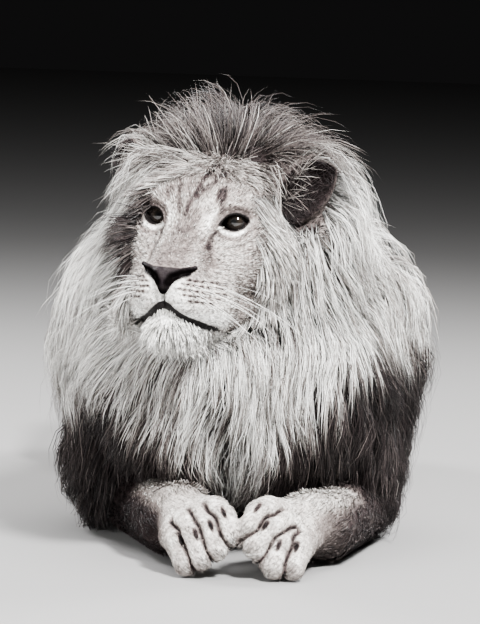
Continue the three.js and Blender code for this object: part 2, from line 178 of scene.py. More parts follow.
# A long way off: millimetres to the lion, millimetres in a pixel there, and degrees.
FAR, SCALE, TILT, ROLL = 6000.0, 1.58, 5.0, 2.0
SENSOR, PICTURE = 36, 624  # the film's height in millimetres and the picture's in pixels
aim = np.array([0.0, -600.0, 398.0])
back = np.array([0, -math.cos(math.radians(TILT)), math.sin(math.radians(TILT))])
camera = bpy.data.cameras.new("camera")
camera.sensor_width = SENSOR
camera.lens = SENSOR * (FAR / SCALE) / PICTURE
camera.clip_start, camera.clip_end = 0.1, 100
eye = bpy.data.objects.new("camera", camera)
eye.location = (aim + back * FAR) / 1000
look = Vector(-back).to_track_quat("-Z", "Y").to_matrix()
eye.rotation_euler = (look @ Matrix.Rotation(math.radians(ROLL), 3, "Z")).to_euler()
bpy.context.scene.collection.objects.link(eye)
bpy.context.scene.camera = eye

# ------------------------------------------------------------------ fields
# A field takes an (n, 3) array of points and gives about the distance to a surface, negative
# inside.


def smoothstep(low, high, x):
    t = np.clip((x - low) / (high - low), 0, 1)
    return t * t * (3 - 2 * t)


def bell(x, width):
    return np.exp(-((x / width) ** 2))


def folded(p):
    """The points with the right side laid over onto the left."""
    return np.column_stack([np.abs(p[:, 0]), p[:, 1:]])


def turned(x=0.0, y=0.0, z=0.0):
    """Rotation about X, then Y, then Z of the turned frame, in degrees, as Rx Ry Rz."""
    spin = [Matrix.Rotation(math.radians(a), 3, axis) for a, axis in ((x, "X"), (y, "Y"), (z, "Z"))]
    return np.array(spin[0] @ spin[1] @ spin[2])


def ball(centre, radii, turn=(0, 0, 0)):
    spin, centre, radii = turned(*turn), np.array(centre, float), np.array(radii, float)

    def field(p):
        q = ((p - centre) @ spin) / radii
        near = np.linalg.norm(q, axis=1)
        slope = np.maximum(np.linalg.norm(q / radii, axis=1), 1e-9)
        return near * (near - 1) / slope

    return field


def bone(a, ra, b, rb):
    a, b = np.array(a, float), np.array(b, float)
    axis = b - a
    long = axis @ axis

    def field(p):
        t = np.clip((p - a) @ axis / long, 0, 1)
        return np.linalg.norm(p - a - t[:, None] * axis, axis=1) - (ra + t * (rb - ra))

    return field


def smooth_min(a, b, k):
    h = np.maximum(k - np.abs(a - b), 0) / k
    return np.minimum(a, b) - h * h * k / 4


def blend(k, *fields):
    def field(p):
        near = fields[0](p)
        for other in fields[1:]:
            near = smooth_min(near, other(p), k)
        return near

    return field


def carved(k, field, tool):
    return lambda p: -smooth_min(-field(p), tool(p), k)


def grown(field, by):
    return lambda p: field(p) - by


def both(make):
    return [make(1), make(-1)]


# ------------------------------------------------------------------ the head's frame

EYES_AT = np.array([-72.0, -615.0, 544.0])
HEAD_TURN = (
    Matrix.Rotation(math.radians(2), 3, "Y")
    @ Matrix.Rotation(math.radians(-17.5), 3, "Z")
    @ Matrix.Rotation(math.radians(-2.4), 3, "X")
)
HEAD = np.array(HEAD_TURN)
EYE_SPREAD, EYE_DEPTH, EYE_RADIUS = 62.4, 9.0, 19.5


def to_head(p):
    return (np.asarray(p, float) - EYES_AT) @ HEAD


def from_head(p):
    return np.asarray(p, float) @ HEAD.T + EYES_AT


def on_head(field):
    return lambda p: field(to_head(p))


# ------------------------------------------------------------------ the skin's shape

skull = blend(
    26,
    ball([0, 96, 8], [98, 132, 88]),
    ball([0, 34, 26], [66, 46, 44]),
    *both(lambda s: ball([s * 56, 15, 27], [38, 30, 21])),
    *both(lambda s: bone([s * 17, 8, -4], 32, [s * 15, -106, -92], 28)),
    *both(lambda s: bone([s * 26, -109, -115], 27, [s * 52, -50, -120], 38)),
    *both(lambda s: bone([s * 22, -108, -130], 17, [s * 58, -44, -146], 26)),
    *both(lambda s: ball([s * 52, -6, -76], [46, 52, 46])),
    *both(lambda s: ball([s * 84, 54, -52], [46, 80, 68])),
)
jaw = blend(
    22,
    ball([0, -90, -167], [35, 37, 26]),
    *both(lambda s: bone([s * 26, -66, -166], 24, [s * 78, 74, -112], 48)),
)


def path(k, points, radii):
    """Bones end to end through the points."""
    return blend(
        k, *(bone(a, ra, b, rb) for a, ra, b, rb in zip(points, radii, points[1:], radii[1:]))
    )


MOUTH = [
    (0, -141, -131), (9, -140, -135), (18, -134, -142), (32, -115, -153), (45, -91, -160),
    (57, -67, -165), (65, -50, -167),
]
LIP_GAP = [3, 3, 3.4, 3.6, 3.6, 3.0, 1.5]


def mouth_line(s):
    return [(s * x, y, z) for x, y, z in MOUTH]


lips = carved(
    6,
    blend(10, skull, jaw),
    blend(2, *both(lambda s: path(2, mouth_line(s), LIP_GAP))),
)
EYE_TURN, EYE_SLANT = 16.0, 12.0
LID, CORNEA = 3.4, 1.6  # how far they stand out from the eyeball


def eye_frame(p, s):
    """Points about an eye: u outwards, v forwards from the eye's centre and w up."""
    q = (p - np.array([s * EYE_SPREAD, EYE_DEPTH, 0])) @ turned(z=s * EYE_TURN)
    u, v, w = s * q[:, 0], -q[:, 1], q[:, 2]
    tilt = math.radians(EYE_SLANT)
    return u * math.cos(tilt) + w * math.sin(tilt), v, w * math.cos(tilt) - u * math.sin(tilt)


def almond(u, w):
    """Distance in the plane to the eye's opening, negative inside it."""
    up = np.hypot(u + 2.5, w + 13.8) - 25.8
    down = np.hypot(u + 2.5, w - 14.6) - 26.4
    return np.maximum(up, down)


def lid_bulge(p):
    """The lids' outside."""
    near = [np.linalg.norm(p - [s * EYE_SPREAD, EYE_DEPTH + 1, 0], axis=1) for s in (1, -1)]
    return np.minimum(*near) - EYE_RADIUS - LID


def lid_opening(p):
    near = []
    for s in (1, -1):
        u, v, w = eye_frame(p, s)
        near.append(np.maximum(almond(u, w), 3 - v))
    return np.minimum(*near)


def along(points, p):
    """Distance to a line through the (x, z) points, as seen from the front."""
    q = p[:, [0, 2]]
    near = np.full(len(p), 1e3)
    for a, b in zip(points, points[1:]):
        a, b = np.array(a, float), np.array(b, float)
        t = np.clip((q - a) @ (b - a) / ((b - a) @ (b - a)), 0, 1)
        near = np.minimum(near, np.linalg.norm(q - a - t[:, None] * (b - a), axis=1))
    return near


# The face's folds: depth, width, whether they are on both sides, and the (x, z) line.
FOLDS = [
    (3.0, 2.6, True, [(46, -15), (41, -23), (42, -34)]),
    (1.6, 5, True, [(42, -34), (48, -52), (54, -68)]),
    (3.0, 4, False, [(10, 66), (3, 42), (-4, 14)]),
    (2.0, 4, False, [(30, 64), (16, 46), (6, 34)]),
    (1.6, 5, False, [(-34, 52), (-24, 32), (-22, 14)]),
    (1.5, 5, True, [(45, 42), (48, 24)]),
]
LIP_CLEFT = [(0, -104), (0, -131)]


def dents(p):
    """How far the face's surface sinks at each point."""
    front = smoothstep(60, 20, p[:, 1])
    q = folded(p)
    x = q[:, 0]
    sink = 3.2 * bell(along(LIP_CLEFT, q), 3.2) * (p[:, 1] < -90)
    for deep, wide, twice, line in FOLDS:
        sink += deep * bell(along(line, q if twice else p), wide)
    for s in (1, -1):
        u, v, w = eye_frame(p, s)
        edge = almond(u, w)
        near = smoothstep(-2, 8, v) * smoothstep(46, 30, np.abs(u))
        sink += near * np.where(w > -2, 2.4 * bell(edge - 7.5, 2.0), 1.6 * bell(edge - 12, 3.2))
        sink -= near * 1.0 * bell(edge - 2.5, 2.2)
    pads = smoothstep(-40, -70, p[:, 1]) * smoothstep(-84, -92, p[:, 2])
    for row, z in enumerate((-98, -107, -117, -128)):
        sink += 0.5 * pads * bell(p[:, 2] - z - 0.06 * (x - 50), 2.2) * smoothstep(14, 24, x)
    return sink * front


nose_pad = blend(
    6,
    ball([0, -133, -90], [18, 16, 14]),
    *both(lambda s: bone([s * 12, -135, -87], 11.5, [s * 30, -127, -82], 7.0)),
    *both(lambda s: bone([s * 30, -127, -81], 6.0, [s * 42, -119, -73], 3.0)),
    ball([0, -139, -98], [12, 10, 12]),
    ball([0, -141, -107], [6.5, 7, 9]),
)
nostrils = blend(
    2,
    *both(
        lambda s: path(
            2,
            [(s * 10, -152, -98), (s * 18, -148, -93), (s * 29, -140, -86), (s * 43, -124, -80)],
            [3.0, 7.4, 6.4, 2.8],
        )
    ),
)


EAR = dict(at=(136, 122, 62), tall=66, wide=43, deep=27, wall=8)


def ear_frame(s):
    """An ear's middle and turn on the head."""
    return np.array([s * EAR["at"][0], *EAR["at"][1:]]), turned(y=s * 32) @ turned(z=s * 24)


def ear(s):
    """An ear: a thick cup, open to the front and side."""
    at, spin = ear_frame(s)

    def cup(p):
        q = (p - at) @ spin
        egg = ball([0, 0, 0], [EAR["wide"], EAR["deep"], EAR["tall"]])(q)
        wall = EAR["wall"]
        hole = ball(
            [0, -EAR["deep"] * 0.75, 0],
            [EAR["wide"] - wall, EAR["deep"] - wall / 2, EAR["tall"] - wall],
        )(q)
        return -smooth_min(-egg, hole, 3)

    return cup


def in_ear(p, s=1):
    """Points in an ear's own frame, which opens along -Y."""
    at, spin = ear_frame(s)
    return (to_head(p) - at) @ spin


def round_ear(e, more=(0, 0, 0)):
    """Whether points of an ear's frame are on the ear, or as far from it as more allows."""
    return np.linalg.norm(e / np.add([60, 40, 80], more), axis=1) < 1


EAR_FUR = (22, 30, 20)


smooth_head = carved(1.5, blend(5, blend(9, lips, lid_bulge), nose_pad), lid_opening)
smooth_head = blend(10, carved(4, smooth_head, nostrils), *both(ear))
head_skin = on_head(lambda q: smooth_head(q) + dents(q))

HIPS_ASIDE = -24.0


def aside(field):
    def moved(p):
        q = p.copy()
        q[:, 0] -= HIPS_ASIDE * smoothstep(0, 650, p[:, 1])
        return field(q)

    return moved


torso = aside(
    blend(
        70,
        ball([0, -70, 262], [179, 300, 262]),
        ball([0, -110, 430], [115, 190, 109]),
        bone([0, 0, 395], 138, [0, 560, 362], 122),
        ball([0, 330, 205], [172, 380, 204]),
        ball([0, 690, 292], [150, 206, 199]),
        *both(lambda s: ball([s * 140, -190, 250], [82, 150, 190], (12, 0, 0))),
        *both(lambda s: bone([s * 112, 672, 262], 128, [s * 222, 445, 152], 86)),
        *both(lambda s: bone([s * 165, -120, 190], 72, [s * 168, -230, 78], 62)),
        bone([0, -170, 350], 165, [-18, -455, 492], 96),
    )
)

FORELEGS = {
    "right": dict(
        elbow=(-176, -250, 62), wrist=(-100, -590, 62), bulge=(-84, -632, 76),
        toes=(
            ((-29, -716, 96), (-5, -766, 66)), ((-49, -728, 84), (-25, -780, 45)),
            ((-71, -732, 74), (-48, -784, 30)), ((-91, -726, 57), (-70, -778, 20)),
        ),
    ),
    "left": dict(
        elbow=(222, -250, 62), wrist=(144, -585, 58), bulge=(124, -624, 68),
        toes=(
            ((55, -714, 99), (26, -764, 78)), ((73, -728, 78), (36, -780, 51)),
            ((83, -738, 56), (66, -788, 21)), ((107, -730, 48), (95, -784, 20)),
        ),
    ),
}
TOE = (20.5, 21.0, 18.5)  # a toe's radius at its knuckle, its middle joint and its tip
FOUR = (-1.5, -0.5, 0.5, 1.5)  # a hind foot's toes, from its middle
ARCH = np.array([0, -3.0, 8.0])
WEB_BACK = np.array([0, 8.0, 2.0])


def toe_joints(knuckle, tip):
    """A toe's knuckle, its raised middle joint and its tip."""
    knuckle, tip = np.array(knuckle, float), np.array(tip, float)
    return knuckle, 0.55 * knuckle + 0.45 * tip + ARCH, tip


def toe_field(knuckle, tip):
    a, b, c = toe_joints(knuckle, tip)
    return blend(6, bone(a, TOE[0], b, TOE[1]), bone(b, TOE[1], c, TOE[2]))


def toe_room(toes, p):
    """How far each point is outside the nearest toe, and how much farther the next toe is."""
    near = np.sort([toe_field(*toe)(p) for toe in toes], axis=0)
    return near[0], near[1] - near[0]


def toe_crease(toes, p, wide=4.0):
    """From 0 to 1 in the folds between the toes."""
    off, gap = toe_room(toes, p)
    return bell(gap, wide) * smoothstep(15, 3, off) * smoothstep(-712, -738, p[:, 1])


def webs(toes):
    """The flesh between neighbouring toes."""
    joints = [toe_joints(*toe) for toe in toes]
    return [
        bone(a[k] + WEB_BACK, 17, b[k] + WEB_BACK, 17)
        for a, b in zip(joints, joints[1:])
        for k in (1, 2)
    ]


def foreleg(elbow, wrist, bulge, toes):
    limb = blend(24, bone(elbow, 60, wrist, 52), ball(bulge, [50, 46, 48]))
    palm = blend(14, *(bone(bulge, 36, knuckle, TOE[0] + 1) for knuckle, _ in toes))
    paw = blend(12, limb, blend(10, palm, blend(4, *(toe_field(*toe) for toe in toes), *webs(toes))))
    return lambda p: paw(p) + 4.5 * toe_crease(toes, p, 3.0)


def hindleg(s):
    def on(x, y, z):
        return (s * x, y, z)

    toes = [ball(on(252 + i * 21, 416 + 5 * i * i, 23), [13, 27, 20]) for i in FOUR]
    shank = bone(on(212, 385, 112), 66, on(232, 728, 52), 34)
    foot = blend(6, bone(on(236, 722, 40), 33, on(250, 470, 30), 28), *toes)
    return aside(blend(14, shank, foot))


TAIL = [
    (-24, 858, 280), (-16, 935, 150), (10, 1015, 52), (80, 1075, 26), (170, 1075, 24),
    (235, 1005, 24), (235, 915, 24), (170, 870, 24),
]


def spline(points, t):
    """Catmull-Rom through the points, at t from 0 to 1."""
    points = np.asarray(points, float)
    t = np.clip(np.asarray(t, float), 0, 1) * (len(points) - 1)
    i = np.minimum(t.astype(int), len(points) - 2)
    u = (t - i)[:, None]
    ends = np.vstack([2 * points[0] - points[1], points, 2 * points[-1] - points[-2]])
    a, b, c, d = (ends[i + k] for k in range(4))
    square, cube = (2 * a - 5 * b + 4 * c - d) * u**2, (3 * b - a - 3 * c + d) * u**3
    return 0.5 * (2 * b + (c - a) * u + square + cube)


tail_line = spline(TAIL, np.linspace(0, 0.97, 19))
tail_radii = 27 - 15 * np.minimum(1, np.linspace(0, 1.4, 19))
tail = path(6, tail_line, tail_radii)

# The mane's outside, and the mass of hair under its locks, which the skin follows.
mane = blend(
    46,
    on_head(ball([4, 150, 70], [160, 118, 94])),
    on_head(ball([24, 172, -30], [210, 132, 192])),
    ball([4, -300, 330], [312, 270, 270]),
    ball([0, -470, 275], [250, 185, 190]),
    bone([0, -585, 300], 82, [4, -632, 152], 34),
    ball([0, -110, 455], [185, 230, 128]),
    bone([-34, -400, 596], 112, [-4, -150, 478], 118),
    *both(lambda s: ball([s * 196, -270, 165], [92, 190, 158])),
)
UNDERCOAT = 48.0
ear_pit = ball([0, -24, -4], [53, 58, 80])


def undercoat(p):
    """The mass of hair, behind the face and clear of the near ear."""
    behind_face = 62 - to_head(p)[:, 1]
    return np.maximum(np.maximum(mane(p) + UNDERCOAT, behind_face), -ear_pit(in_ear(p)))


def ground(p):
    return 1.5 - p[:, 2]


def boxed(field, low, high):
    """The field where it matters: away from its box, only how far away the box is."""
    low, high = np.array(low, float), np.array(high, float)

    def near(p):
        gap = np.maximum(np.maximum(low - p, p - high), 0)
        d = np.sqrt((gap * gap).sum(1)) + 20
        close = d < 60
        if close.any():
            d[close] = field(p[close])
        return d

    return near


body_parts = [
    torso,
    boxed(foreleg(**FORELEGS["right"]), (-260, -830, -20), (30, -160, 160)),
    boxed(foreleg(**FORELEGS["left"]), (-30, -830, -20), (310, -160, 160)),
    boxed(hindleg(1), (130, 340, -20), (360, 830, 210)),
    boxed(hindleg(-1), (-380, 340, -20), (-130, 830, 210)),
    boxed(tail, (-90, 800, -20), (290, 1130, 340)),
]


def body_skin(p):
    near = body_parts[0](p)
    for part, k in zip(body_parts[1:], (12, 12, 10, 10, 12)):
        near = smooth_min(near, part(p), k)
    return near


near_head = boxed(head_skin, EYES_AT - [290, 240, 290], EYES_AT + [290, 340, 240])


def skin_field(p):
    body = smooth_min(body_skin(p), undercoat(p), 20)
    return np.maximum(smooth_min(body, near_head(p), 12), ground(p))


# ------------------------------------------------------------------ surfaces


def nets(field, low, high, cell):
    """A closed mesh of the field's zero level: (points, quads). Only cells near it are sampled."""
    low, high = np.array(low, float), np.array(high, float)
    wide = 4
    count = (np.ceil((high - low) / (cell * wide)).astype(int) + 2) * wide + 1
    value = np.ones(count, np.float32) * 1e3
    big = [np.arange(0, n, wide) for n in count]
    grid = np.stack(np.meshgrid(*big, indexing="ij"), -1).reshape(-1, 3)
    rough = field(low + (grid - wide) * cell).reshape([len(b) for b in big])
    near = np.abs(rough) < cell * wide * 1.6
    for axis in range(3):  # a block is sampled where any of its corners is near
        near = near | np.roll(near, -1, axis)
    blocks = np.argwhere(near[:-1, :-1, :-1])
    inside = np.argwhere(rough[:-1, :-1, :-1] < 0)
    solid = np.zeros([len(b) - 1 for b in big], bool)
    solid[tuple(inside.T)] = True
    value[:-1, :-1, :-1] = np.where(
        solid.repeat(wide, 0).repeat(wide, 1).repeat(wide, 2), -1e3, 1e3
    )
    step = np.stack(np.meshgrid(*[np.arange(wide)] * 3, indexing="ij"), -1).reshape(-1, 3)
    cells = (blocks[:, None] * wide + step[None]).reshape(-1, 3)
    for part in np.array_split(cells, max(1, len(cells) // 400000)):
        value[tuple(part.T)] = field(low + (part - wide) * cell)
    minus = value < 0
    corners = [(a, b, c) for a in (0, 1) for b in (0, 1) for c in (0, 1)]
    shape = [n - 1 for n in count]

    def at(a, b, c):
        return (slice(a, a + shape[0]), slice(b, b + shape[1]), slice(c, c + shape[2]))

    total = sum(minus[at(*c)].astype(np.int8) for c in corners)
    active = np.argwhere((total > 0) & (total < 8))
    index = np.full(shape, -1, np.int32)
    index[tuple(active.T)] = np.arange(len(active))
    found, hits = np.zeros((len(active), 3)), np.zeros(len(active))
    for i, a in enumerate(corners):
        for b in corners[i + 1 :]:
            if sum(abs(m - n) for m, n in zip(a, b)) != 1:
                continue
            va, vb = (value[tuple((active + c).T)].astype(float) for c in (a, b))
            cross = (va < 0) != (vb < 0)
            t = np.where(cross, va / np.where(cross, va - vb, 1), 0)
            found += cross[:, None] * (np.array(a) + t[:, None] * (np.array(b) - np.array(a)))
            hits += cross
    points = low + (active - wide + found / hits[:, None]) * cell
    quads = []
    for axis in range(3):
        s, t = np.eye(3, dtype=int)[(axis + 1) % 3], np.eye(3, dtype=int)[(axis + 2) % 3]
        ahead = np.roll(minus, -1, axis)
        edge = np.argwhere(minus != ahead)
        edge = edge[(edge > 0).all(1) & (edge < np.array(shape)).all(1)]
        ring = np.stack([index[tuple((edge - o).T)] for o in (s + t, t, 0 * t, s)], 1)
        flip = ~minus[tuple(edge.T)]
        ring[flip] = ring[flip][:, ::-1]
        quads.append(ring)
    quads = np.concatenate(quads)
    return points, quads[(quads >= 0).all(1)]


def slope(field, p, step=0.6):
    """The field's gradient at each point."""
    out = np.empty((len(p), 3))
    for k in range(3):
        d = np.zeros(3)
        d[k] = step
        out[:, k] = (field(p + d) - field(p - d)) / (2 * step)
    return out


def unit(v):
    return v / np.maximum(np.linalg.norm(v, axis=-1, keepdims=True), 1e-9)


def onto(field, p, level=0.0, rounds=3, most=6.0):
    """Moves points onto a level of the field."""
    p = np.array(p, float)
    for _ in range(rounds):
        g = slope(field, p)
        d = field(p) - level
        move = -(d / np.maximum((g * g).sum(1), 0.05))[:, None] * g
        long = np.maximum(np.linalg.norm(move, axis=1, keepdims=True), 1e-9)
        p += move * np.minimum(1, most / long)
    return p


def mesh_from(name, points, faces):
    """A mesh in metres from points in millimetres and faces of one length."""
    me = bpy.data.meshes.new(name)
    me.vertices.add(len(points))
    me.vertices.foreach_set("co", (np.asarray(points) / 1000).astype(np.float32).ravel())
    sides = faces.shape[1]
    me.loops.add(faces.size)
    me.loops.foreach_set("vertex_index", faces.astype(np.int32).ravel())
    me.polygons.add(len(faces))
    me.polygons.foreach_set("loop_start", np.arange(0, faces.size, sides, dtype=np.int32))
    me.update(calc_edges=True)
    me.polygons.foreach_set("use_smooth", np.ones(len(faces), bool))
    return me


def add(name, me, slot_name, *nodes):
    """Adds a piece that rides on the lion's one body."""
    ob = bpy.data.objects.new(name, me)
    bpy.context.scene.collection.objects.link(ob)
    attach(ob, "root")
    if nodes:
        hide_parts(*nodes)
    return ob


def store(me, name, colour):
    """Keeps a colour at each of a mesh's points."""
    layer = me.color_attributes.new(name, "FLOAT_COLOR", "POINT")
    layer.data.foreach_set("color", np.asarray(colour, np.float32).ravel())


def points_of(me):
    out = np.empty(len(me.vertices) * 3, np.float32)
    me.vertices.foreach_get("co", out)
    return out.reshape(-1, 3).astype(float) * 1000


def set_points(me, p):
    me.vertices.foreach_set("co", (p / 1000).astype(np.float32).ravel())
    me.update()


CELL, NOSE_CELL = 6.0, 1.7
points, quads = nets(skin_field, [-390, -830, -20], [400, 1120, 790], CELL)
note(f"skin nets {len(points)} points")
skin_mesh = mesh_from("skin", points, quads)


def refine(me, wanted):
    """Splits the faces whose points are wanted, and moves the new points onto the skin."""
    bm = bmesh.new()
    bm.from_mesh(me)
    bm.verts.ensure_lookup_table()
    mask = wanted(points_of(me))
    edges = [e for e in bm.edges if mask[e.verts[0].index] and mask[e.verts[1].index]]
    bmesh.ops.subdivide_edges(bm, edges=edges, cuts=1, use_grid_fill=True)
    bm.to_mesh(me)
    bm.free()
    p = points_of(me)
    moved = wanted(p)
    p[moved] = onto(skin_field, p[moved], rounds=2)
    set_points(me, p)
    me.polygons.foreach_set("use_smooth", np.ones(len(me.polygons), bool))


def fine_face(p):
    q = to_head(p)
    return (np.linalg.norm((q - [0, -40, -55]) / [118, 125, 128], axis=1) < 1) & (q[:, 1] < 50)


def finer_face(p):
    q = folded(to_head(p))
    eyes = np.linalg.norm((q - [60, -12, 0]) / [30, 30, 23], axis=1)
    snout = np.linalg.norm((q - [0, -128, -112]) / [62, 60, 48], axis=1)
    return (eyes < 1) | (snout < 1)


def fine_toes(p):
    return near_toes(p)[0] < 22


def creased_toes(p):
    off, gap = near_toes(p)
    return (off < 12) & (gap < 14)


def near_toes(p):
    rooms = [toe_room(leg["toes"], p) for leg in FORELEGS.values()]
    nearer = rooms[0][0] < rooms[1][0]
    return tuple(np.where(nearer, a, b) for a, b in zip(*rooms))


for wanted in (fine_face, finer_face, fine_toes, creased_toes):
    refine(skin_mesh, wanted)
note(f"skin refined {len(skin_mesh.polygons)} faces")


def thinned(me, wanted, triangles):
    """The mesh with fewer triangles, taken from where the points are wanted."""
    ob = bpy.data.objects.new("thinned", me)
    bpy.context.scene.collection.objects.link(ob)
    group = ob.vertex_groups.new(name="wanted")
    group.add(np.flatnonzero(wanted(points_of(me))).tolist(), 1.0, "REPLACE")
    modifier = ob.modifiers.new("thinned", "DECIMATE")
    modifier.vertex_group = group.name
    now = len(me.loops) - 2 * len(me.polygons)
    modifier.ratio = triangles / now
    made = bpy.data.meshes.new_from_object(ob.evaluated_get(bpy.context.evaluated_depsgraph_get()))
    bpy.data.objects.remove(ob)
    made.polygons.foreach_set("use_smooth", np.ones(len(made.polygons), bool))
    return made


def plain_body(p):
    """Away from the head, the paws and the hind feet."""
    q = to_head(p)
    head = (np.abs(q[:, 0]) < 220) & (q[:, 1] < 190) & (q[:, 2] > -230)
    feet = (p[:, 2] < 70) & (p[:, 1] > 360) | (p[:, 1] < -600) & (p[:, 2] < 200)
    return ~head & ~feet


SKIN_TRIANGLES = 190_000  # the skin's triangles after thinning; a piece may have 200,000
skin_mesh = thinned(skin_mesh, plain_body, SKIN_TRIANGLES)
note(f"skin thinned to {len(skin_mesh.loops) - 2 * len(skin_mesh.polygons)} triangles")

MANE_NODES = [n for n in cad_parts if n.startswith("mane_")]
FLESH = [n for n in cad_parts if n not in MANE_NODES and not n.startswith("eye_")]
FLESH.remove("nose")
skin = add("skin", skin_mesh, "coat", *FLESH)

# ------------------------------------------------------------------ the lie of the coat

# Where the mane's front runs: x, z in millimetres, and the way the hair points, in degrees
# anticlockwise from +X.
LIE = np.array(
    [
        # crest
        (-103, 695, 135), (-63, 711, 112), (-24, 719, 88), (16, 711, 62), (55, 690, 40),
        (-134, 682, 160), (-190, 675, 180), (-47, 655, 95), (-95, 663, 130), (8, 663, 50),
        (35, 671, 30),
        # the head's right and the neck under it
        (-118, 623, 215), (-150, 599, 235), (-174, 568, 240), (-205, 536, 235), (-237, 473, 240),
        (-260, 409, 250), (-276, 330, 262), (-268, 250, 275), (-221, 250, 250), (-190, 330, 225),
        (-182, 393, 215), (-174, 441, 215), (-142, 282, 235), (-205, 187, 255), (-142, 171, 270),
        (-95, 218, 255),
        # chin and breast
        (-63, 282, 262), (-110, 298, 240), (0, 282, 270), (-40, 203, 268), (-8, 139, 270),
        (-63, 139, 285), (47, 139, 255), (0, 92, 270),
        # the head's left, over the cheek and down the shoulder
        (35, 599, 280), (55, 536, 275), (71, 457, 273), (79, 377, 290), (95, 298, 272),
        (47, 362, 262), (24, 314, 265), (158, 615, 300), (182, 552, 300), (213, 489, 305),
        (142, 504, 285), (253, 425, 300), (285, 362, 290), (190, 377, 290), (237, 298, 285),
        (174, 250, 275), (253, 218, 270), (237, 123, 265), (158, 155, 270), (95, 187, 268),
        (245, 28, 262),
        # over the ear
        (24, 644, 320), (48, 625, 285), (71, 672, 5), (110, 674, -5), (150, 647, -40),
    ],
    float,
)


def nape_zone(p):
    return smoothstep(-430, -340, p[:, 1])


def lie(p, n):
    """The way the mane runs at each point, along the surface whose normal is n."""
    turn = np.radians(LIE[:, 2])
    gap = ((p[:, None, [0, 2]] - LIE[None, :, :2]) ** 2).sum(2)
    weight = 1 / (gap + 15.0**2) ** 1.6
    weight /= weight.sum(1, keepdims=True)
    x, z = weight @ np.cos(turn), weight @ np.sin(turn)
    front = np.column_stack([x, 0 * x, z])
    stray = 0.2 * (np.sin(p[:, 0] / 31 + p[:, 2] / 47) + np.sin(p[:, 2] / 29 - p[:, 0] / 53 + 2))
    front = unit(front + np.column_stack([-front[:, 2] * stray, 0 * x, front[:, 0] * stray]))
    lean = -(front * n).sum(1) / np.minimum(n[:, 1], -0.28)
    front[:, 1] = np.clip(lean, -1.6, 1.6)
    front = unit(front)
    nape = nape_zone(p)
    part = np.sign(p[:, 0]) * (1 - nape) + (np.clip(p[:, 0] / 110, -1, 1) + 0.5 * stray) * nape
    fall = -0.8 + 0.45 * nape * smoothstep(0.6, 0.9, n[:, 2])
    back = np.column_stack([0.25 * part, np.full(len(p), 0.55), fall])
    back = unit(back - (back * n).sum(1, keepdims=True) * n)
    mix = smoothstep(0.0, -0.42, n[:, 1])[:, None]
    return unit(front * mix + back * (1 - mix))


# ------------------------------------------------------------------ strands


def tapered(name, lines, width, up, tone, vary, root_n, look, *nodes):
    """One mesh of solid tapered strands: lines is (n, k, 3), width (n, k) and up (n, 3)."""
    n, k, _ = lines.shape
    ahead = np.empty_like(lines)
    ahead[:, 1:-1] = lines[:, 2:] - lines[:, :-2]
    ahead[:, 0], ahead[:, -1] = lines[:, 1] - lines[:, 0], lines[:, -1] - lines[:, -2]
    ahead = unit(ahead)
    side = unit(np.cross(ahead, up[:, None, :]))
    out = np.cross(side, ahead)
    w = width[..., None]
    rings = np.stack(
        [lines - side * w * 0.5, lines + out * w * 0.42, lines + side * w * 0.5], axis=2
    )  # n, k, 3, 3
    rings = rings[:, :-1].reshape(n, -1, 3)
    verts = np.concatenate([rings, lines[:, -1:]], 1)  # n, 3(k-1)+1, 3
    each = verts.shape[1]
    faces = [(0, 1, 2)]
    for i in range(k - 2):
        for a, b in ((0, 1), (1, 2), (2, 0)):
            a, b, c, d = 3 * i + a, 3 * i + b, 3 * i + 3 + b, 3 * i + 3 + a
            faces += [(a, c, b), (a, d, c)]
    last = 3 * (k - 2)
    faces += [(last, each - 1, last + 1), (last + 1, each - 1, last + 2), (last + 2, each - 1, last)]
    faces = np.array(faces)
    all_faces = (faces[None] + (np.arange(n) * each)[:, None, None]).reshape(-1, 3)
    me = mesh_from(name, verts.reshape(-1, 3), all_faces)
    t = np.concatenate([np.repeat(np.linspace(0, 1, k)[:-1], 3), [1.0]])
    colour = np.empty((n, each, 4), np.float32)
    colour[..., 0], colour[..., 1] = tone[:, None], vary[:, None]
    colour[..., 2], colour[..., 3] = t, 1
    store(me, "coat", colour)
    # The unwrap: the skin's six sides, each strand a small patch where its root is.
    low, high = SKIN_BOX
    spot = (lines[:, 0] - low) / (high - low)
    axis = np.abs(root_n).argmax(1)
    far = root_n[np.arange(n), axis] > 0
    plane = np.array([[1, 2], [0, 2], [0, 1]])[axis]
    across = spot[np.arange(n)[:, None], plane]
    across = np.clip(across, 0.012, 0.988) * [1 / 3, 1 / 2] + np.column_stack([axis / 3, far / 2])
    patch = np.zeros((each, 2))
    patch[:-1, 0] = np.tile([-0.0015, 0, 0.0015], k - 1)
    patch[:, 1] = 0.003 * (t - 0.5)
    uv = (across[:, None] + patch[None]).reshape(-1, 2)
    layer = me.uv_layers.new(name="OFBake")
    layer.data.foreach_set("uv", uv[all_faces.ravel()].astype(np.float32).ravel())
    me.materials.append(look)
    note(f"{name}: {n} strands, {len(all_faces)} triangles")
    return add(name, me, "mane" if look is mane_look else "coat", *nodes)


def sample_lines(lines, at):
    """Each line (n, s, 3) read at its own parameters (n, k), from 0 to 1."""
    s = lines.shape[1] - 1
    at = np.clip(at, 0, 1) * s
    i = np.minimum(at.astype(int), s - 1)
    u = (at - i)[..., None]
    rows = np.arange(len(lines))[:, None]
    return lines[rows, i] * (1 - u) + lines[rows, i + 1] * u


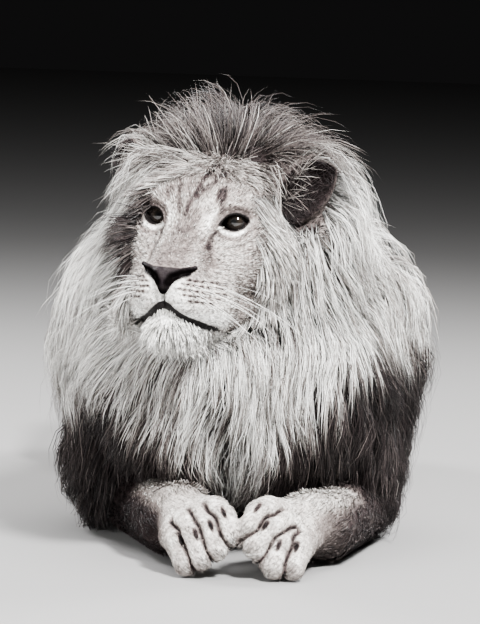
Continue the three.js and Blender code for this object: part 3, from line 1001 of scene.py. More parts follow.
def scatter(me, count, wanted, seed):
    """Random points on a mesh's faces: (points, normals), in millimetres."""
    p = points_of(me)
    me.calc_loop_triangles()
    tris = np.empty(len(me.loop_triangles) * 3, np.int32)
    me.loop_triangles.foreach_get("vertices", tris)
    tris = tris.reshape(-1, 3)
    a, b, c = p[tris[:, 0]], p[tris[:, 1]], p[tris[:, 2]]
    cross = np.cross(b - a, c - a)
    area = np.linalg.norm(cross, axis=1)
    weight = area * wanted((a + b + c) / 3)
    draw = np.random.default_rng(seed)
    pick = draw.choice(len(tris), count, p=weight / weight.sum())
    r1, r2 = np.sqrt(draw.random(count))[:, None], draw.random(count)[:, None]
    at = a[pick] * (1 - r1) + b[pick] * r1 * (1 - r2) + c[pick] * r1 * r2
    return at, unit(cross[pick])


def face_zone(p):
    """Under 1 on the face, where no long hair grows."""
    q = to_head(p)
    x, z = np.abs(q[:, 0] - 15) / 101, np.abs(q[:, 2] + 54) / 146
    deep = 75 + 75 * smoothstep(-150, -125, q[:, 2])
    return np.maximum((x**2.6 + z**2.6) ** (1 / 2.6), (q[:, 1] + 60) / deep)


def mane_zone(p):
    deep = -mane(p)
    return smoothstep(0, 12, deep) * (face_zone(p) > 1) * (p[:, 2] > 60)


# ------------------------------------------------------------------ the mane

# How many hairs or tufts each piece starts with: together under 1.5 million triangles.
COUNT = dict(
    face=17000, paw=15500, body=8500, chin=2400, ruff=3000, forelock=800, flyaway=2350,
    temple=1300, ear_edge=60, ear_inside=520, tail=1200,
)
GUIDES = 2400


def crest_zone(q):
    """From 0 to 1 on the crest, for points of the head."""
    top = smoothstep(40, 90, q[:, 2]) * smoothstep(170, 110, np.abs(q[:, 0]))
    return top * smoothstep(200, 60, q[:, 1])


def mane_roots(p):
    return mane_zone(p) * np.where(p[:, 1] > -330, 0.34, 1.0)


roots, root_n = scatter(skin_mesh, GUIDES, mane_roots, 11)
draw = np.random.default_rng(12)
hq = to_head(roots)
crest = crest_zone(hq)
low_mane = smoothstep(330, 150, roots[:, 2])
length = 175 + 60 * draw.random(GUIDES) - 45 * low_mane * draw.random(GUIDES)
length -= crest * (72 + 55 * draw.random(GUIDES))
nape = nape_zone(roots)
stray = draw.normal(0, 1, (GUIDES, 3)) * (0.07 + 0.22 * crest + 0.10 * nape * (1 - crest))[:, None]
layer_depth = np.abs(draw.normal(0, 1, GUIDES)) * 14 - 2
layer_depth = np.where(crest > 0.3, layer_depth * 0.6 - 22 * crest * draw.random(GUIDES), layer_depth)


def march(p, n, length, layer_depth, crest, stray, steps=12):
    p, lines = p.copy(), [p.copy()]
    g = unit(slope(mane, p, 2))
    d = unit(0.75 * n + 0.5 * lie(p, g))
    for i in range(steps):
        g = unit(slope(mane, p, 2))
        depth = -mane(p)
        rise = np.clip((depth - layer_depth) / 24, -0.6, 1.0)[:, None]
        rise = rise + 0.42 * crest[:, None]
        want = unit(lie(p, g) + g * rise + stray)
        want[:, 2] -= 0.12 * (1 - crest)
        d = unit(0.55 * d + 0.45 * want)
        p = p + d * (length / steps)[:, None]
        q = to_head(p)
        near = np.abs(q).max(1) < 220
        if near.any():
            s = head_skin(p[near])
            g2 = unit(slope(head_skin, p[near], 2))
            p[near] += g2 * np.clip(4 - s, 0, 12)[:, None]
        p[:, 2] = np.maximum(p[:, 2], 6)
        lines.append(p.copy())
    return np.stack(lines, 1)


guides = march(roots, root_n, length, layer_depth, crest, stray)
note(f"{GUIDES} guides")


def edge_height(x):
    """Where the pale hair ends and the dark begins, over the mane's front."""
    xs = [-320, -270, -190, -110, -50, 0, 40, 79, 120, 197, 292, 340]
    zs = [250, 234, 242, 202, 139, 88, 123, 202, 244, 312, 335, 340]
    return np.interp(x, xs, zs)


def mane_tone(p, q):
    """From 0, dark, to 1, pale: p are the middles of strands and q their roots in the head."""
    wild = 16 * np.sin(p[:, 0] / 23 + 1.3) + 12 * np.sin(p[:, 0] / 9.1 + p[:, 2] / 31)
    pale = smoothstep(-42, 38, p[:, 2] + wild * 0.8 - edge_height(p[:, 0]))
    # painted shadow under the chin: a darker patch on the breast's pale hair, on the -X side
    pale *= 1 - 0.4 * bell(np.hypot((p[:, 0] + 98) / 52, (p[:, 2] - 302) / 24), 1.0) * (p[:, 1] < -300)
    behind = smoothstep(-330, 60, p[:, 1])
    pale *= 1 - 0.75 * behind
    crown = smoothstep(60, 105, q[:, 2]) * smoothstep(150, 90, np.abs(q[:, 0] - 8))
    pale *= 1 - 0.78 * crown
    # painted shade: a darker line of hair where the mane meets the face, darkest toward the crown;
    # darker flanks on the +X side below the shoulder; and a darker band beside the face's -X side
    edge = bell(face_zone(p) - 1.07, 0.11) * smoothstep(-120, -80, q[:, 2])
    pale *= 1 - edge * (0.36 - 0.2 * (q[:, 0] > 60) + 0.34 * smoothstep(50, 80, q[:, 2]))
    pale *= 1 - 0.22 * smoothstep(120, 230, p[:, 0]) * smoothstep(560, 460, p[:, 2])
    shaded = smoothstep(-132, -104, q[:, 0]) * (q[:, 0] < -70) * smoothstep(110, 30, q[:, 1])
    pale *= 1 - 0.70 * shaded * smoothstep(-112, -76, q[:, 2]) * smoothstep(70, 40, q[:, 2])
    return np.clip(pale * 0.90 + 0.12, 0, 1)


OUTER = 28  # how far past the solids' box the longest hairs may reach
BOX = np.array(cad_low) * 1000 - OUTER, np.array(cad_high) * 1000 + OUTER


def left_out(lines):
    """Which strands would cross the hollow of the near ear, or stray too far from the solids."""
    p = lines.reshape(-1, 3)
    e = in_ear(p)
    out = (np.hypot((e[:, 0] - 9) / 34, e[:, 2] / 60) < 1) & (e[:, 1] < 12) & (e[:, 1] > -200)
    out |= ((p < BOX[0]) | (p > BOX[1])).any(1)
    return out.reshape(lines.shape[:2]).any(1)


RINGS, LOCKS, STRANDS = 5, 4, 4  # along each strand, at each guide and in each lock


def locks(name, pick, nodes, wide, seed):
    """The strands of the picked guides: each guide has a few pointed locks of a few strands."""
    r = np.random.default_rng(100 + seed)
    m = int(pick.sum())
    n = m * LOCKS * STRANDS

    def per_guide(v):
        return np.repeat(v, LOCKS * STRANDS, 0)

    def per_lock(v):
        return np.repeat(v, STRANDS, 0)

    g, nrm, c = per_guide(guides[pick]), per_guide(root_n[pick]), per_guide(crest[pick])
    side = unit(np.cross(nrm, g[:, 3] - g[:, 0] + 1e-6))
    other = np.cross(side, nrm)

    def disc(count, size):
        angle, radius = r.random(count) * 2 * math.pi, np.sqrt(r.random(count)) * size
        return np.cos(angle) * radius, np.sin(angle) * radius

    au, av = (per_lock(v) for v in disc(m * LOCKS, 17))
    bu, bv = disc(n, 4.6)
    off_lock = side * au[:, None] + other * av[:, None]
    off_strand = side * bu[:, None] + other * bv[:, None]
    t = np.linspace(0, 1, RINGS)[None, :]
    share = per_lock(1 - 0.38 * r.random(m * LOCKS) ** 1.4) * (1 - 0.16 * r.random(n))
    lines = sample_lines(g, t * share[:, None])
    gather = per_lock(0.1 + 0.6 * r.random(m * LOCKS))
    lines = lines + off_lock[:, None] * (1 - gather[:, None] * t)[..., None]
    loose = per_lock(0.3 + 0.55 * r.random(m * LOCKS))
    lines = lines + off_strand[:, None] * (1 - loose[:, None] * t**0.8)[..., None]
    low = smoothstep(330, 200, g[:, 0, 2])
    calm = (1 - 0.55 * c) * (1 + 0.5 * low)
    for axis in (side, other):
        phase = per_lock(r.random(m * LOCKS) * 6.3) + r.normal(0, 0.4, n)
        turns = per_lock(2.5 + 3.5 * r.random(m * LOCKS))
        swing = per_lock(2.0 + 8.0 * r.random(m * LOCKS) ** 2) * calm
        wave = (np.sin(phase[:, None] + turns[:, None] * t) - np.sin(phase)[:, None]) * swing[:, None]
        lines = lines + axis[:, None] * (wave * t**0.7)[..., None]
    fray = r.normal(0, 1, (n, 3)) * (2.2 + 6 * c + 3.5 * low)[:, None]
    wild = (r.random(n) < 0.12)[:, None] * r.normal(0, 9, (n, 3))
    lines = lines + (fray + wild)[:, None] * (t**1.7)[..., None]
    lines[:, 0] -= nrm * 4
    lines[..., 2] = np.maximum(lines[..., 2], 3)
    width = wide * (0.7 + 0.6 * r.random(n))[:, None] * (1 - 0.6 * t**1.5)
    q = to_head(g[:, 0])
    tone = mane_tone(lines[:, RINGS // 2], q)
    uneven = 0.15 + 0.2 * c + 0.16 * smoothstep(470, 350, g[:, 0, 2])
    uneven += 0.08 * smoothstep(130, 200, g[:, 0, 0])
    tone = tone * (1 + per_lock(r.normal(0, 1, m * LOCKS)) * uneven) + r.normal(0, 0.08, n)
    # a few strands paler, as strays; about one in five darkened by half, painted shade for the gaps
    # between locks
    chance = r.random(n)
    tone = np.where(chance < 0.13 + 0.08 * c, tone + 0.26, tone)
    tone = np.where(chance > 0.82, tone * 0.5, tone)
    keep = ~left_out(lines)
    vary, up = r.random(n), unit(slope(mane, lines[:, RINGS // 2], 2))
    tone = np.clip(tone, 0, 1)
    rows = (v[keep] for v in (lines, width, up, tone, vary, nrm))
    return tapered(name, *rows, mane_look, *nodes)


SKIN_BOX = (points_of(skin_mesh).min(0) - 5, points_of(skin_mesh).max(0) + 5)


# ------------------------------------------------------------------ the coat's markings, painted shade and painted light


def blotch(p, size, seed):
    """A smooth random value about 0 at each point, that changes over about this many millimetres."""
    r = np.random.default_rng(seed)
    out = np.zeros(len(p))
    for _ in range(6):
        way = unit(r.normal(0, 1, 3)) / size * (0.7 + r.random())
        out += np.sin(p @ way * 2 * math.pi + r.random() * 6.3)
    return out / 2.4


def eye_edge(q):
    """Distance outside the nearer eye's opening, and whether a point is above it."""
    edge, above = np.full(len(q), 1e3), np.zeros(len(q), bool)
    for s in (1, -1):
        u, v, w = eye_frame(q, s)
        d = np.where(v > -8, almond(u, w), 1e3)
        above = np.where(d < edge, w > 0.12 * u, above)
        edge = np.minimum(edge, d)
    return edge, above


def lip_height(x):
    """Where the closed lips meet, seen from the front, at each distance from the middle."""
    line = np.array(MOUTH)
    return np.interp(x, line[:, 0], line[:, 2])


def mouth_gap(q):
    """How far each point is, seen from the front, from the line of the closed lips."""
    line = [(x, z) for x, _, z in MOUTH]
    return along(line, folded(q)) + 0.6 * np.maximum(q[:, 1] + 18, 0)


WHISKER_ROWS = [
    [(x + 7.6 * i, z - 0.9 * i) for i in range(n)]
    for x, z, n in ((38, -92, 6), (30, -98, 7), (26, -106, 8), (34, -115, 6), (42, -124, 4))
]


# The forehead's dark lines, painted shade along its folds: how dark, how wide and where in (x, z).
FOREHEAD_LINES = [
    (0.42, 3.6, [(14, 84), (8, 62), (3, 42), (-5, 22), (-6, 8)]),
    (0.32, 4.2, [(34, 74), (24, 54), (12, 44), (6, 34)]),
    (0.26, 4.6, [(-34, 66), (-26, 46), (-24, 28), (-18, 12)]),
    (0.14, 4.0, [(-12, 70), (-12, 54), (-8, 40)]),
]


def face_tone(q):
    """The short coat's lightness on the head, and how far a place is bare, dark and moist."""
    flat = folded(q)
    x, y, z = flat.T
    tone = 0.55 + 0.04 * blotch(q, 34, 3) + 0.05 * blotch(q, 9, 6)
    muzzle = smoothstep(-45, -85, y) * smoothstep(-84, -98, z)
    tone += 0.30 * muzzle
    tone += 0.30 * smoothstep(-138, -156, z) * smoothstep(-20, -60, y)
    bridge = smoothstep(30, 14, x) * smoothstep(-30, -60, y) * smoothstep(-84, -74, z)
    tone += bridge * (0.05 * blotch(q, 12, 8) - 0.15)
    # pale brow and cheek patches; painted shade at the temples along the face's sides and toward the
    # hairline, where the mane overhangs
    tone += 0.20 * bell(np.hypot((x - 30) / 13, (z + 2) / 17), 1.0)
    tone += 0.10 * bell(np.hypot(x - 34, (z - 18) * 0.9), 22)
    tone -= 0.10 * smoothstep(95, 120, x)
    tone -= 0.14 * smoothstep(52, 84, z)
    # painted shade: the folds are darker than the skin beside them
    for dark, wide, line in FOREHEAD_LINES:
        tone -= dark * bell(along(line, q), wide)
    near = np.where(q[:, 0] > 0, 1.0, 0.45)
    oval = np.hypot((x - 43) / 6.0, (z - 40) / 10.0)
    tone -= near * (0.36 * bell(oval - 0.8, 0.6) + 0.16 * bell(oval, 0.9))
    tone -= near * 0.42 * bell(np.hypot((x - 47) / 4.5, (z - 22) / 7.0), 1.0)
    tone -= 0.12 * bell(np.hypot((x - 30) / 9.0, (z - 14) / 5), 1.0)
    tone -= 0.34 * bell(along([(44, -17), (40, -25), (42, -42)], flat), 2.8)
    tone -= 0.15 * bell(along([(42, -42), (48, -60), (52, -72)], flat), 4.5)
    cheek = smoothstep(46, 66, x) * smoothstep(-20, -34, z) * smoothstep(-96, -72, z)
    tone += cheek * (0.07 + 0.10 * blotch(q, 7, 5))
    # rows of whisker spots
    front = smoothstep(-10, -30, y)
    for row in WHISKER_ROWS:
        for at in row:
            tone -= 0.9 * front * bell(np.hypot((x - at[0]) / 1.6, z - at[1]), 1.8)
    edge, above = eye_edge(q)
    reach = smoothstep(30, 20, y)
    white = 0.5 * bell(edge - 6.6, 3.4) * smoothstep(36, 46, x) * smoothstep(88, 78, x)
    # a pale crescent below each eye; painted shade on the upper lid and in the folds above and below
    # the lids; a painted highlight on the brow ridge
    tone += reach * np.where(above, -0.26 * bell(edge - 5.5, 3.2), white)
    tone -= reach * np.where(above, 0.20 * bell(edge - 12, 3), 0.14 * bell(edge - 13.5, 3))
    tone += reach * above * 0.10 * bell(edge - 18, 4)
    wet = reach * smoothstep(4.2, 2.6, edge + np.where(above, -0.8, 0.9))
    wet = np.maximum(wet, 0.8 * reach * bell(along([(45, -15), (41, -22), (40.5, -28)], flat), 1.9))
    gap = mouth_gap(q)
    below = smoothstep(1.5, -0.5, z - lip_height(x)) * smoothstep(74, 40, x)
    gap = gap - 3.2 * below - 1.8 * smoothstep(20, 50, x) - 1.2 * smoothstep(22, 8, x)
    wet = np.maximum(wet, smoothstep(4.4, 2.8, gap) * (y < 0))
    wet = np.maximum(wet, (y < -100) * bell(along(LIP_CLEFT, q), 2.2))
    wet = np.maximum(wet, smoothstep(1.5, -1.0, nose_pad(q)))
    return tone, wet


TAIL_STEPS = 60
TAIL_PATH = spline(TAIL, np.linspace(0, 1, TAIL_STEPS))


def tail_part(p):
    """How far along the tail each point is, from 0 to 1, and how far from its middle."""
    gap = np.linalg.norm(p[:, None] - TAIL_PATH[None], axis=2)
    return gap.argmin(1) / (TAIL_STEPS - 1), gap.min(1)


def on_toe(knuckle, tip, share):
    """A point of a toe's back, that share of the way from its middle to its tip, and its direction."""
    _, middle, tip = toe_joints(knuckle, tip)
    ahead = unit(tip - middle)
    up = np.array([0, -0.6, 0.8])
    up = unit(up - (up @ ahead) * ahead)
    return middle + share * (tip - middle) + up * (TOE[1] + share * (TOE[2] - TOE[1])), ahead


def toe_fold_shade(p):
    """Painted shade on the paws: how much darker they are in the folds of the toes and in the slots
    over the claws.
    """
    dark = np.zeros(len(p))
    for leg in FORELEGS.values():
        dark += 0.62 * toe_crease(leg["toes"], p, 3.4)
        for knuckle, tip in leg["toes"]:
            at, ahead = on_toe(knuckle, tip, 0.30)
            long = (p - at) @ ahead
            wide = np.linalg.norm(p - at - long[:, None] * ahead, axis=1)
            dark += 0.68 * smoothstep(1.5, 0.6, np.hypot((long + 1.5 * wide) / 9.5, wide / 3.8))
    return dark


def ear_hollow(e):
    """Whether points of an ear's frame are on the inside of its cup."""
    size = [EAR["wide"] - EAR["wall"], EAR["deep"], EAR["tall"] - EAR["wall"]]
    return (np.linalg.norm((e + [0, EAR["deep"] * 0.75, 0]) / size, axis=1) < 1.08) & (e[:, 1] < 12)


def coat_tone(p):
    """Lightness of the skin and its short coat, from 0 to 1, and the bare moist places."""
    q = to_head(p)
    tone = 0.47 + 0.03 * blotch(p, 160, 1) + 0.015 * blotch(p, 30, 2)
    tone -= 0.10 * smoothstep(330, 470, p[:, 2]) * (p[:, 1] > -100)
    tone += 0.12 * smoothstep(120, 30, p[:, 2])
    forearm = smoothstep(-150, -220, p[:, 1]) * smoothstep(190, 130, p[:, 2])
    # the forearms: painted shade, darkest on the -X forearm and toward the outer sides, and a painted
    # highlight along their tops near the paws
    forearm_light_and_shade = np.where(p[:, 0] < 0, 0.05, 0.20) + 0.12 * smoothstep(220, 130, np.abs(p[:, 0]))
    forearm_light_and_shade += 0.42 * smoothstep(78, 106, p[:, 2]) * (p[:, 1] < -500) + 0.05 * blotch(p, 26, 7)
    tone += (forearm_light_and_shade - tone) * forearm
    paws = smoothstep(-615, -700, p[:, 1]) * smoothstep(190, 130, p[:, 2])
    # pale paws, with painted shade toward the floor; their outer sides keep the forearms' painted
    # shade
    paws *= smoothstep(-132, -98, p[:, 0]) * (1 - 0.6 * smoothstep(104, 145, p[:, 0]))
    tone += (0.72 + 0.07 * blotch(p, 22, 4) - 0.12 * smoothstep(40, 12, p[:, 2]) - tone) * paws
    near = paws > 0.02
    tone[near] -= toe_fold_shade(p[near])
    feet = smoothstep(520, 440, p[:, 1]) * smoothstep(380, 420, p[:, 1]) * (p[:, 2] < 60)
    tone += 0.16 * feet
    far_along, off = tail_part(p)
    tone -= 0.5 * (off < 50) * smoothstep(0.8, 0.9, far_along)
    wet = np.zeros(len(p))
    head = (np.abs(q[:, 0]) < 175) & (q[:, 1] < 150) & (np.abs(q[:, 2] + 30) < 215)
    if head.any():
        face, bare = face_tone(q[head])
        tone[head], wet[head] = face, bare
    # inside the ears: a mid tone, with painted shade in the cup's hollow, lighter toward its outer
    # side
    for s in (1, -1):
        e = in_ear(p, s)
        inside = ear_hollow(e)
        ear_here = round_ear(e)
        tone = np.where(ear_here, 0.34, tone)
        tone = np.where(ear_here & inside, 0.02 + 0.14 * smoothstep(20, 45, e[:, 0]), tone)
        wet = np.where(ear_here, 0, wet)
    # the skin deep in the mane takes the mane's tone at about half, painted shade under its locks,
    # darker still around the near ear's pit
    deep = smoothstep(-8, -30, mane(p)) * smoothstep(0.98, 1.06, face_zone(p))
    under = 0.55 * mane_tone(p, q)
    under *= 1 - 0.8 * (ear_pit(in_ear(p)) < 6)
    tone += (under - tone) * deep * ~round_ear(in_ear(p))
    wet *= 1 - deep
    return np.clip(tone, 0, 1), np.clip(wet, 0, 1)


tone, wet = coat_tone(points_of(skin_mesh))
store(skin_mesh, "coat", np.column_stack([tone, wet, 0 * tone + 0.5, 0 * tone + 1]))
note("painted")

# ------------------------------------------------------------------ materials


SHADES = [
    (0.0, (0.003, 0.002, 0.002)),
    (0.22, (0.023, 0.016, 0.016)),
    (0.5, (0.145, 0.120, 0.110)),
    (0.75, (0.41, 0.38, 0.35)),
    (1.0, (0.93, 0.92, 0.88)),
]


def strand_look(name, root=0.14, tip=1.15, rough=0.5, flecks=0.12):
    """Hair: its lightness from the markings and painted shade, darker at the root, each strand its own
    shade.
    """
    m = Look(name, Roughness=rough, Specular_IOR_Level=0.2)
    tone, vary, along_it = m.attribute()[:3]
    shade = m.ramp(tone, SHADES)
    shade = m.times(shade, m.ramp(along_it, [(0, root), (0.35, 0.5 + root / 2), (1, tip)]))
    shade = m.times(shade, m.ramp(vary, [(0, 0.5), (0.5, 1.0), (1, 1.25)]))
    shade = m.times(shade, m.ramp(m.noise(230, 2), [(0.3, 1 - 1.3 * flecks), (0.7, 1 + flecks)]))
    m.colour(m.times(shade, m.ramp(m.noise(60), [(0.3, 0.86), (0.7, 1.08)])))
    m.feed(m.shader, "Normal", m.bump(m.noise(900, 2), 0.25, 0.0006))
    return m.material


def skin_look():
    m = Look("short_coat", Specular_IOR_Level=0.07)
    tone, wet, _ = m.attribute()[:3]
    shade = m.ramp(tone, SHADES)
    shade = m.times(shade, m.ramp(m.noise(230, 2), [(0.3, 0.45), (0.7, 1.42)]))
    shade = m.times(shade, m.ramp(m.noise(420, 4, 0.7), [(0.28, 0.66), (0.5, 0.97), (0.75, 1.2)]))
    shade = m.times(shade, m.ramp(m.noise(38, 3), [(0.3, 0.88), (0.7, 1.08)]))
    dark = m.ramp(m.noise(500, 2), [(0.3, (0.002, 0.0015, 0.0015)), (0.7, (0.006, 0.005, 0.005))])
    m.colour(m.mix(wet, shade, dark))
    m.feed(m.shader, "Roughness", m.ramp(wet, [(0, 0.8), (1, 0.34)]))
    fur = m.bump(m.noise(700, 4, 0.7), 0.55, 0.0016)
    m.feed(m.shader, "Normal", m.bump(m.noise(150, 3), 0.35, 0.003, fur))
    return m.material


skin_mesh.materials.append(skin_look())
mane_look = strand_look("mane_hair")
coat_look = strand_look("short_hair", root=0.40, tip=1.15, rough=0.6, flecks=0.45)
body_look = strand_look("body_hair", root=0.85, tip=1.1, rough=0.6, flecks=0.2)

# ------------------------------------------------------------------ the mane's locks

hy, hz = hq[:, 1], hq[:, 2]
gx, gy, gz = roots.T
top = (hz > 30) & (hy < 330)
behind = ~top & (gy > -330)
front = ~top & ~behind
# Each piece's guides, the nodes it stands for and its strands' width.
regions = {
    "mane_hair_crown": (top, ["mane_crown"], 1.05),
    "mane_hair_nape_left": (behind & (gx > 0), ["mane_nape"], 3.0),
    "mane_hair_nape_right": (behind & (gx <= 0), [], 3.0),
    "mane_hair_breast": (front & (np.abs(gx + 10) < 80), ["mane_breast"], 1.15),
    "mane_hair_left_upper": (front & (gx >= 70) & (gz > 330), ["mane_left"], 1.15),
    "mane_hair_left_lower": (front & (gx >= 70) & (gz <= 330), [], 1.15),
    "mane_hair_right_upper": (front & (gx <= -90) & (gz > 330), ["mane_right"], 1.15),
    "mane_hair_right_lower": (front & (gx <= -90) & (gz <= 330), [], 1.15),
}
for i, (name, (pick, nodes, wide)) in enumerate(regions.items()):
    locks(name, pick, nodes, wide, i)

# Single hairs that stand off the mane, most of them on the crest.


def hairs(r, p, n, long, depth, rise, loose, rings, spread):
    """Lines of single hairs, and which of them are kept: they march as the mane does, then spread."""
    lines = march(p, n, long, 2 - depth * r.random(len(p)), rise, loose, 9)
    t = np.linspace(0, 1, rings)[None, :] * np.ones((len(p), 1))
    lines = sample_lines(lines, t) + r.normal(0, spread, (len(p), 1, 3)) * (t**2)[..., None]
    lines[..., 2] = np.maximum(lines[..., 2], 3)
    return lines, ~left_out(lines)


def add_hairs(name, r, lines, n, tone, wide):
    rings = lines.shape[1]
    width = wide * (1 - 0.6 * np.linspace(0, 1, rings)[None, :]) * np.ones((len(n), 1))
    up = unit(slope(mane, lines[:, rings // 2], 2))
    tapered(name, lines, width, up, np.clip(tone, 0, 1), r.random(len(n)), n, mane_look)


def flyaway_roots(p):
    q = to_head(p)
    on_top = smoothstep(50, 90, q[:, 2]) * (q[:, 1] < 260)
    return mane_zone(p) * (p[:, 1] < -150) * (1 + 5 * on_top) * (face_zone(p) > 1.04)


p, n = scatter(skin_mesh, COUNT["flyaway"], flyaway_roots, 15)
r = np.random.default_rng(16)
q = to_head(p)
peak = crest_zone(q)
long = 165 + 60 * r.random(len(p)) - peak * (70 + 40 * r.random(len(p)))
loose = r.normal(0, 1, (len(p), 3)) * (0.14 + 0.24 * peak)[:, None]
lines, keep = hairs(r, p, n, long, 12, 1.3 * peak, loose, rings=6, spread=7)
n, q, lines = n[keep], q[keep], lines[keep]
tone = mane_tone(lines[:, 3], q) * 0.9 + 0.1 + r.normal(0, 0.1, len(n))
add_hairs("mane_flyaway", r, lines, n, tone, 0.85)

# The hair between the face and the ears.


def temples(p):
    q = to_head(p)
    x = np.where(q[:, 0] > 0, q[:, 0] - 8, -q[:, 0] - 14)
    side = smoothstep(74, 84, x) * (x < 132) * (q[:, 1] < 110) * (face_zone(p) > 0.86)
    return side * (q[:, 2] > -30) * (q[:, 2] < 110) * ~ear_hollow(in_ear(p)) * (near_head(p) < 12)


p, n = scatter(skin_mesh, COUNT["temple"], temples, 17)
r = np.random.default_rng(18)
q = to_head(p)
long = 60 + 90 * r.random(len(p)) * smoothstep(0.86, 1.0, face_zone(p))
loose = r.normal(0, 0.10, (len(p), 3))
lines, keep = hairs(r, p, n, long, 14, 0 * long, loose, rings=5, spread=4)
n, q, lines = n[keep], q[keep], lines[keep]
tone = 0.82 + 0.14 * r.normal(0, 1, len(n)) - 0.3 * (r.random(len(n)) < 0.2)
# painted shade: the temple hair on the -X side is darker toward its lower part
tone *= 1 - 0.6 * (q[:, 0] < 0) * smoothstep(60, 30, q[:, 2])
add_hairs("temple_hair", r, lines, n, tone, 1.15)

# ------------------------------------------------------------------ the short coat


def tangent(way, n):
    return unit(way - (way * n).sum(1, keepdims=True) * n)


NOSE_TOP = np.array([0, -118.0, -70.0])


def short_lie(p, n):
    """The way the short coat lies on the head, body, legs and tail."""
    q = to_head(p)
    way = np.tile([0.0, 0.85, -0.5], (len(p), 1))
    leg = (p[:, 1] < -160) & (p[:, 2] < 170)
    side = np.where(p[:, 0] > 5, 1.0, -1.0)[:, None]
    limb = side * np.array([-0.14, 0, 0]) + [0, -0.98, -0.05]
    toe = side * np.array([-0.5, 0, 0]) + [0, -0.72, -0.45]
    near_toe = smoothstep(-620, -700, p[:, 1])[:, None]
    way = np.where(leg[:, None], limb * (1 - near_toe) + toe * near_toe, way)
    hind = (p[:, 1] > 330) & (p[:, 2] < 175) & (np.abs(p[:, 0] + 24) > 165)
    foot = hind & (p[:, 2] < 85)
    way = np.where(hind[:, None], [0, 0.3, -0.9], way)
    way = np.where(foot[:, None], [0, -0.95, -0.2], way)
    at, off = tail_part(p)
    on_tail = (off < 50) & (at > 0.08)
    step = (at * (TAIL_STEPS - 1)).astype(int)
    ahead = np.gradient(TAIL_PATH, axis=0)[np.clip(step, 0, TAIL_STEPS - 2)]
    way = np.where(on_tail[:, None], unit(ahead), way)
    head = (np.abs(q[:, 0]) < 200) & (q[:, 1] < 150) & (np.abs(q[:, 2] + 40) < 200)
    away = q - NOSE_TOP
    away[:, 2] *= np.where(q[:, 2] < -84, 0.35, 1)
    away[:, 1] = np.abs(away[:, 1])
    chin = smoothstep(-150, -170, q[:, 2])[:, None]
    away = unit(away) * (1 - chin) + np.array([0, 0.2, -1]) * chin
    way = np.where(head[:, None], away @ HEAD.T, way)
    return tangent(way + 0.12 * np.random.default_rng(5).normal(0, 1, way.shape), n)


def tufts(name, p, n, way, length, width, tone, look=coat_look, rings=3, lift=0.5, seed=0, curl=0.0):
    """Solid tufts that leave the skin at a slant and lie along it."""
    r = np.random.default_rng(300 + seed)
    t = np.linspace(0, 1, rings)[None, :, None]
    start = unit(way + np.reshape(lift, (-1, 1)) * n)[:, None]
    end = unit(way + 0.10 * n)[:, None]
    long = length[:, None, None]
    lines = (p - n)[:, None] + long * (start * (t - t * t / 2) + end * t * t / 2)
    if curl:
        lines = lines + (r.normal(0, 1, (len(p), 3)) * curl)[:, None] * long * t**1.6
    taper = 1 - 0.35 * np.linspace(0, 1, rings) ** 2
    wide = width[:, None] * taper[None]
    lines[..., 2] = np.maximum(lines[..., 2], 0.2 + 0.5 * wide)
    vary = r.random(len(p))
    keep = ~left_out(lines) | name.startswith("ear_hair")
    return tapered(name, *(v[keep] for v in (lines, wide, n, tone, vary, n)), look)


def open_skin(p):
    """Where the short coat grows: outside the mane, the eyes, the mouth and the nose."""
    q = to_head(p)
    bare = (nose_pad(q) < 3.5) & (q[:, 2] > -104)
    bare |= (eye_edge(q)[0] < 3.2) & (q[:, 1] < 30) & (np.abs(q[:, 2]) < 40)
    covered = (mane(p) < -14) & (face_zone(p) > 1.0)
    e = in_ear(p)
    by_ear = round_ear(e, EAR_FUR)
    return ~bare & (~covered | by_ear) & ~(by_ear & ear_hollow(e)) & (p[:, 2] > 4)


def nose_field(p):
    q = to_head(p)
    return carved(4, grown(nose_pad, 0.8), nostrils)(q)


def is_face(p):
    q = to_head(p)
    return (face_zone(p) < 1.02) & (q[:, 1] < 110) | round_ear(in_ear(p), EAR_FUR)


def is_paw(p):
    return (p[:, 1] < -300) & (p[:, 2] < 150)


def face_weight(p):
    return open_skin(p) * is_face(p) * (1 + 1.2 * (to_head(p)[:, 1] < 20))


p, n = scatter(skin_mesh, COUNT["face"], face_weight, 21)
q = to_head(p)
tone, wet = coat_tone(p)
size = 7.5 + 2 * rng.random(len(p)) - 2.5 * smoothstep(-60, -110, q[:, 1])
size += 6 * smoothstep(0.8, 1.0, face_zone(p)) * smoothstep(60, 30, q[:, 2])
size *= np.where(eye_edge(q)[0] < 10, 0.6, 1)
way = short_lie(p, n)
ends = p + 0.85 * size[:, None] * way
tone = np.minimum(tone, coat_tone(ends)[0] + 0.10)
ends = to_head(ends)
over = (q[:, 2] > lip_height(np.abs(q[:, 0]))) & (ends[:, 2] < lip_height(np.abs(ends[:, 0])))
over &= (np.abs(q[:, 0]) < 76) & (rng.random(len(p)) > 0.1)
dry = (wet < 0.35) & (np.minimum(mouth_gap(q), mouth_gap(ends)) > 3.0) & ~over
p, n, way, tone, size = p[dry], n[dry], way[dry], tone[dry], size[dry]
tone = np.clip(tone + 0.18 * rng.normal(0, 1, len(p)), 0, 1)
tufts("face_fur", p, n, way, size, 1.0 + 0.5 * rng.random(len(p)), tone, lift=0.38, seed=1)


def paw_weight(p):
    return open_skin(p) * is_paw(p) * (p[:, 2] > 8) * (1 + 1.8 * (near_toes(p)[0] < 16))


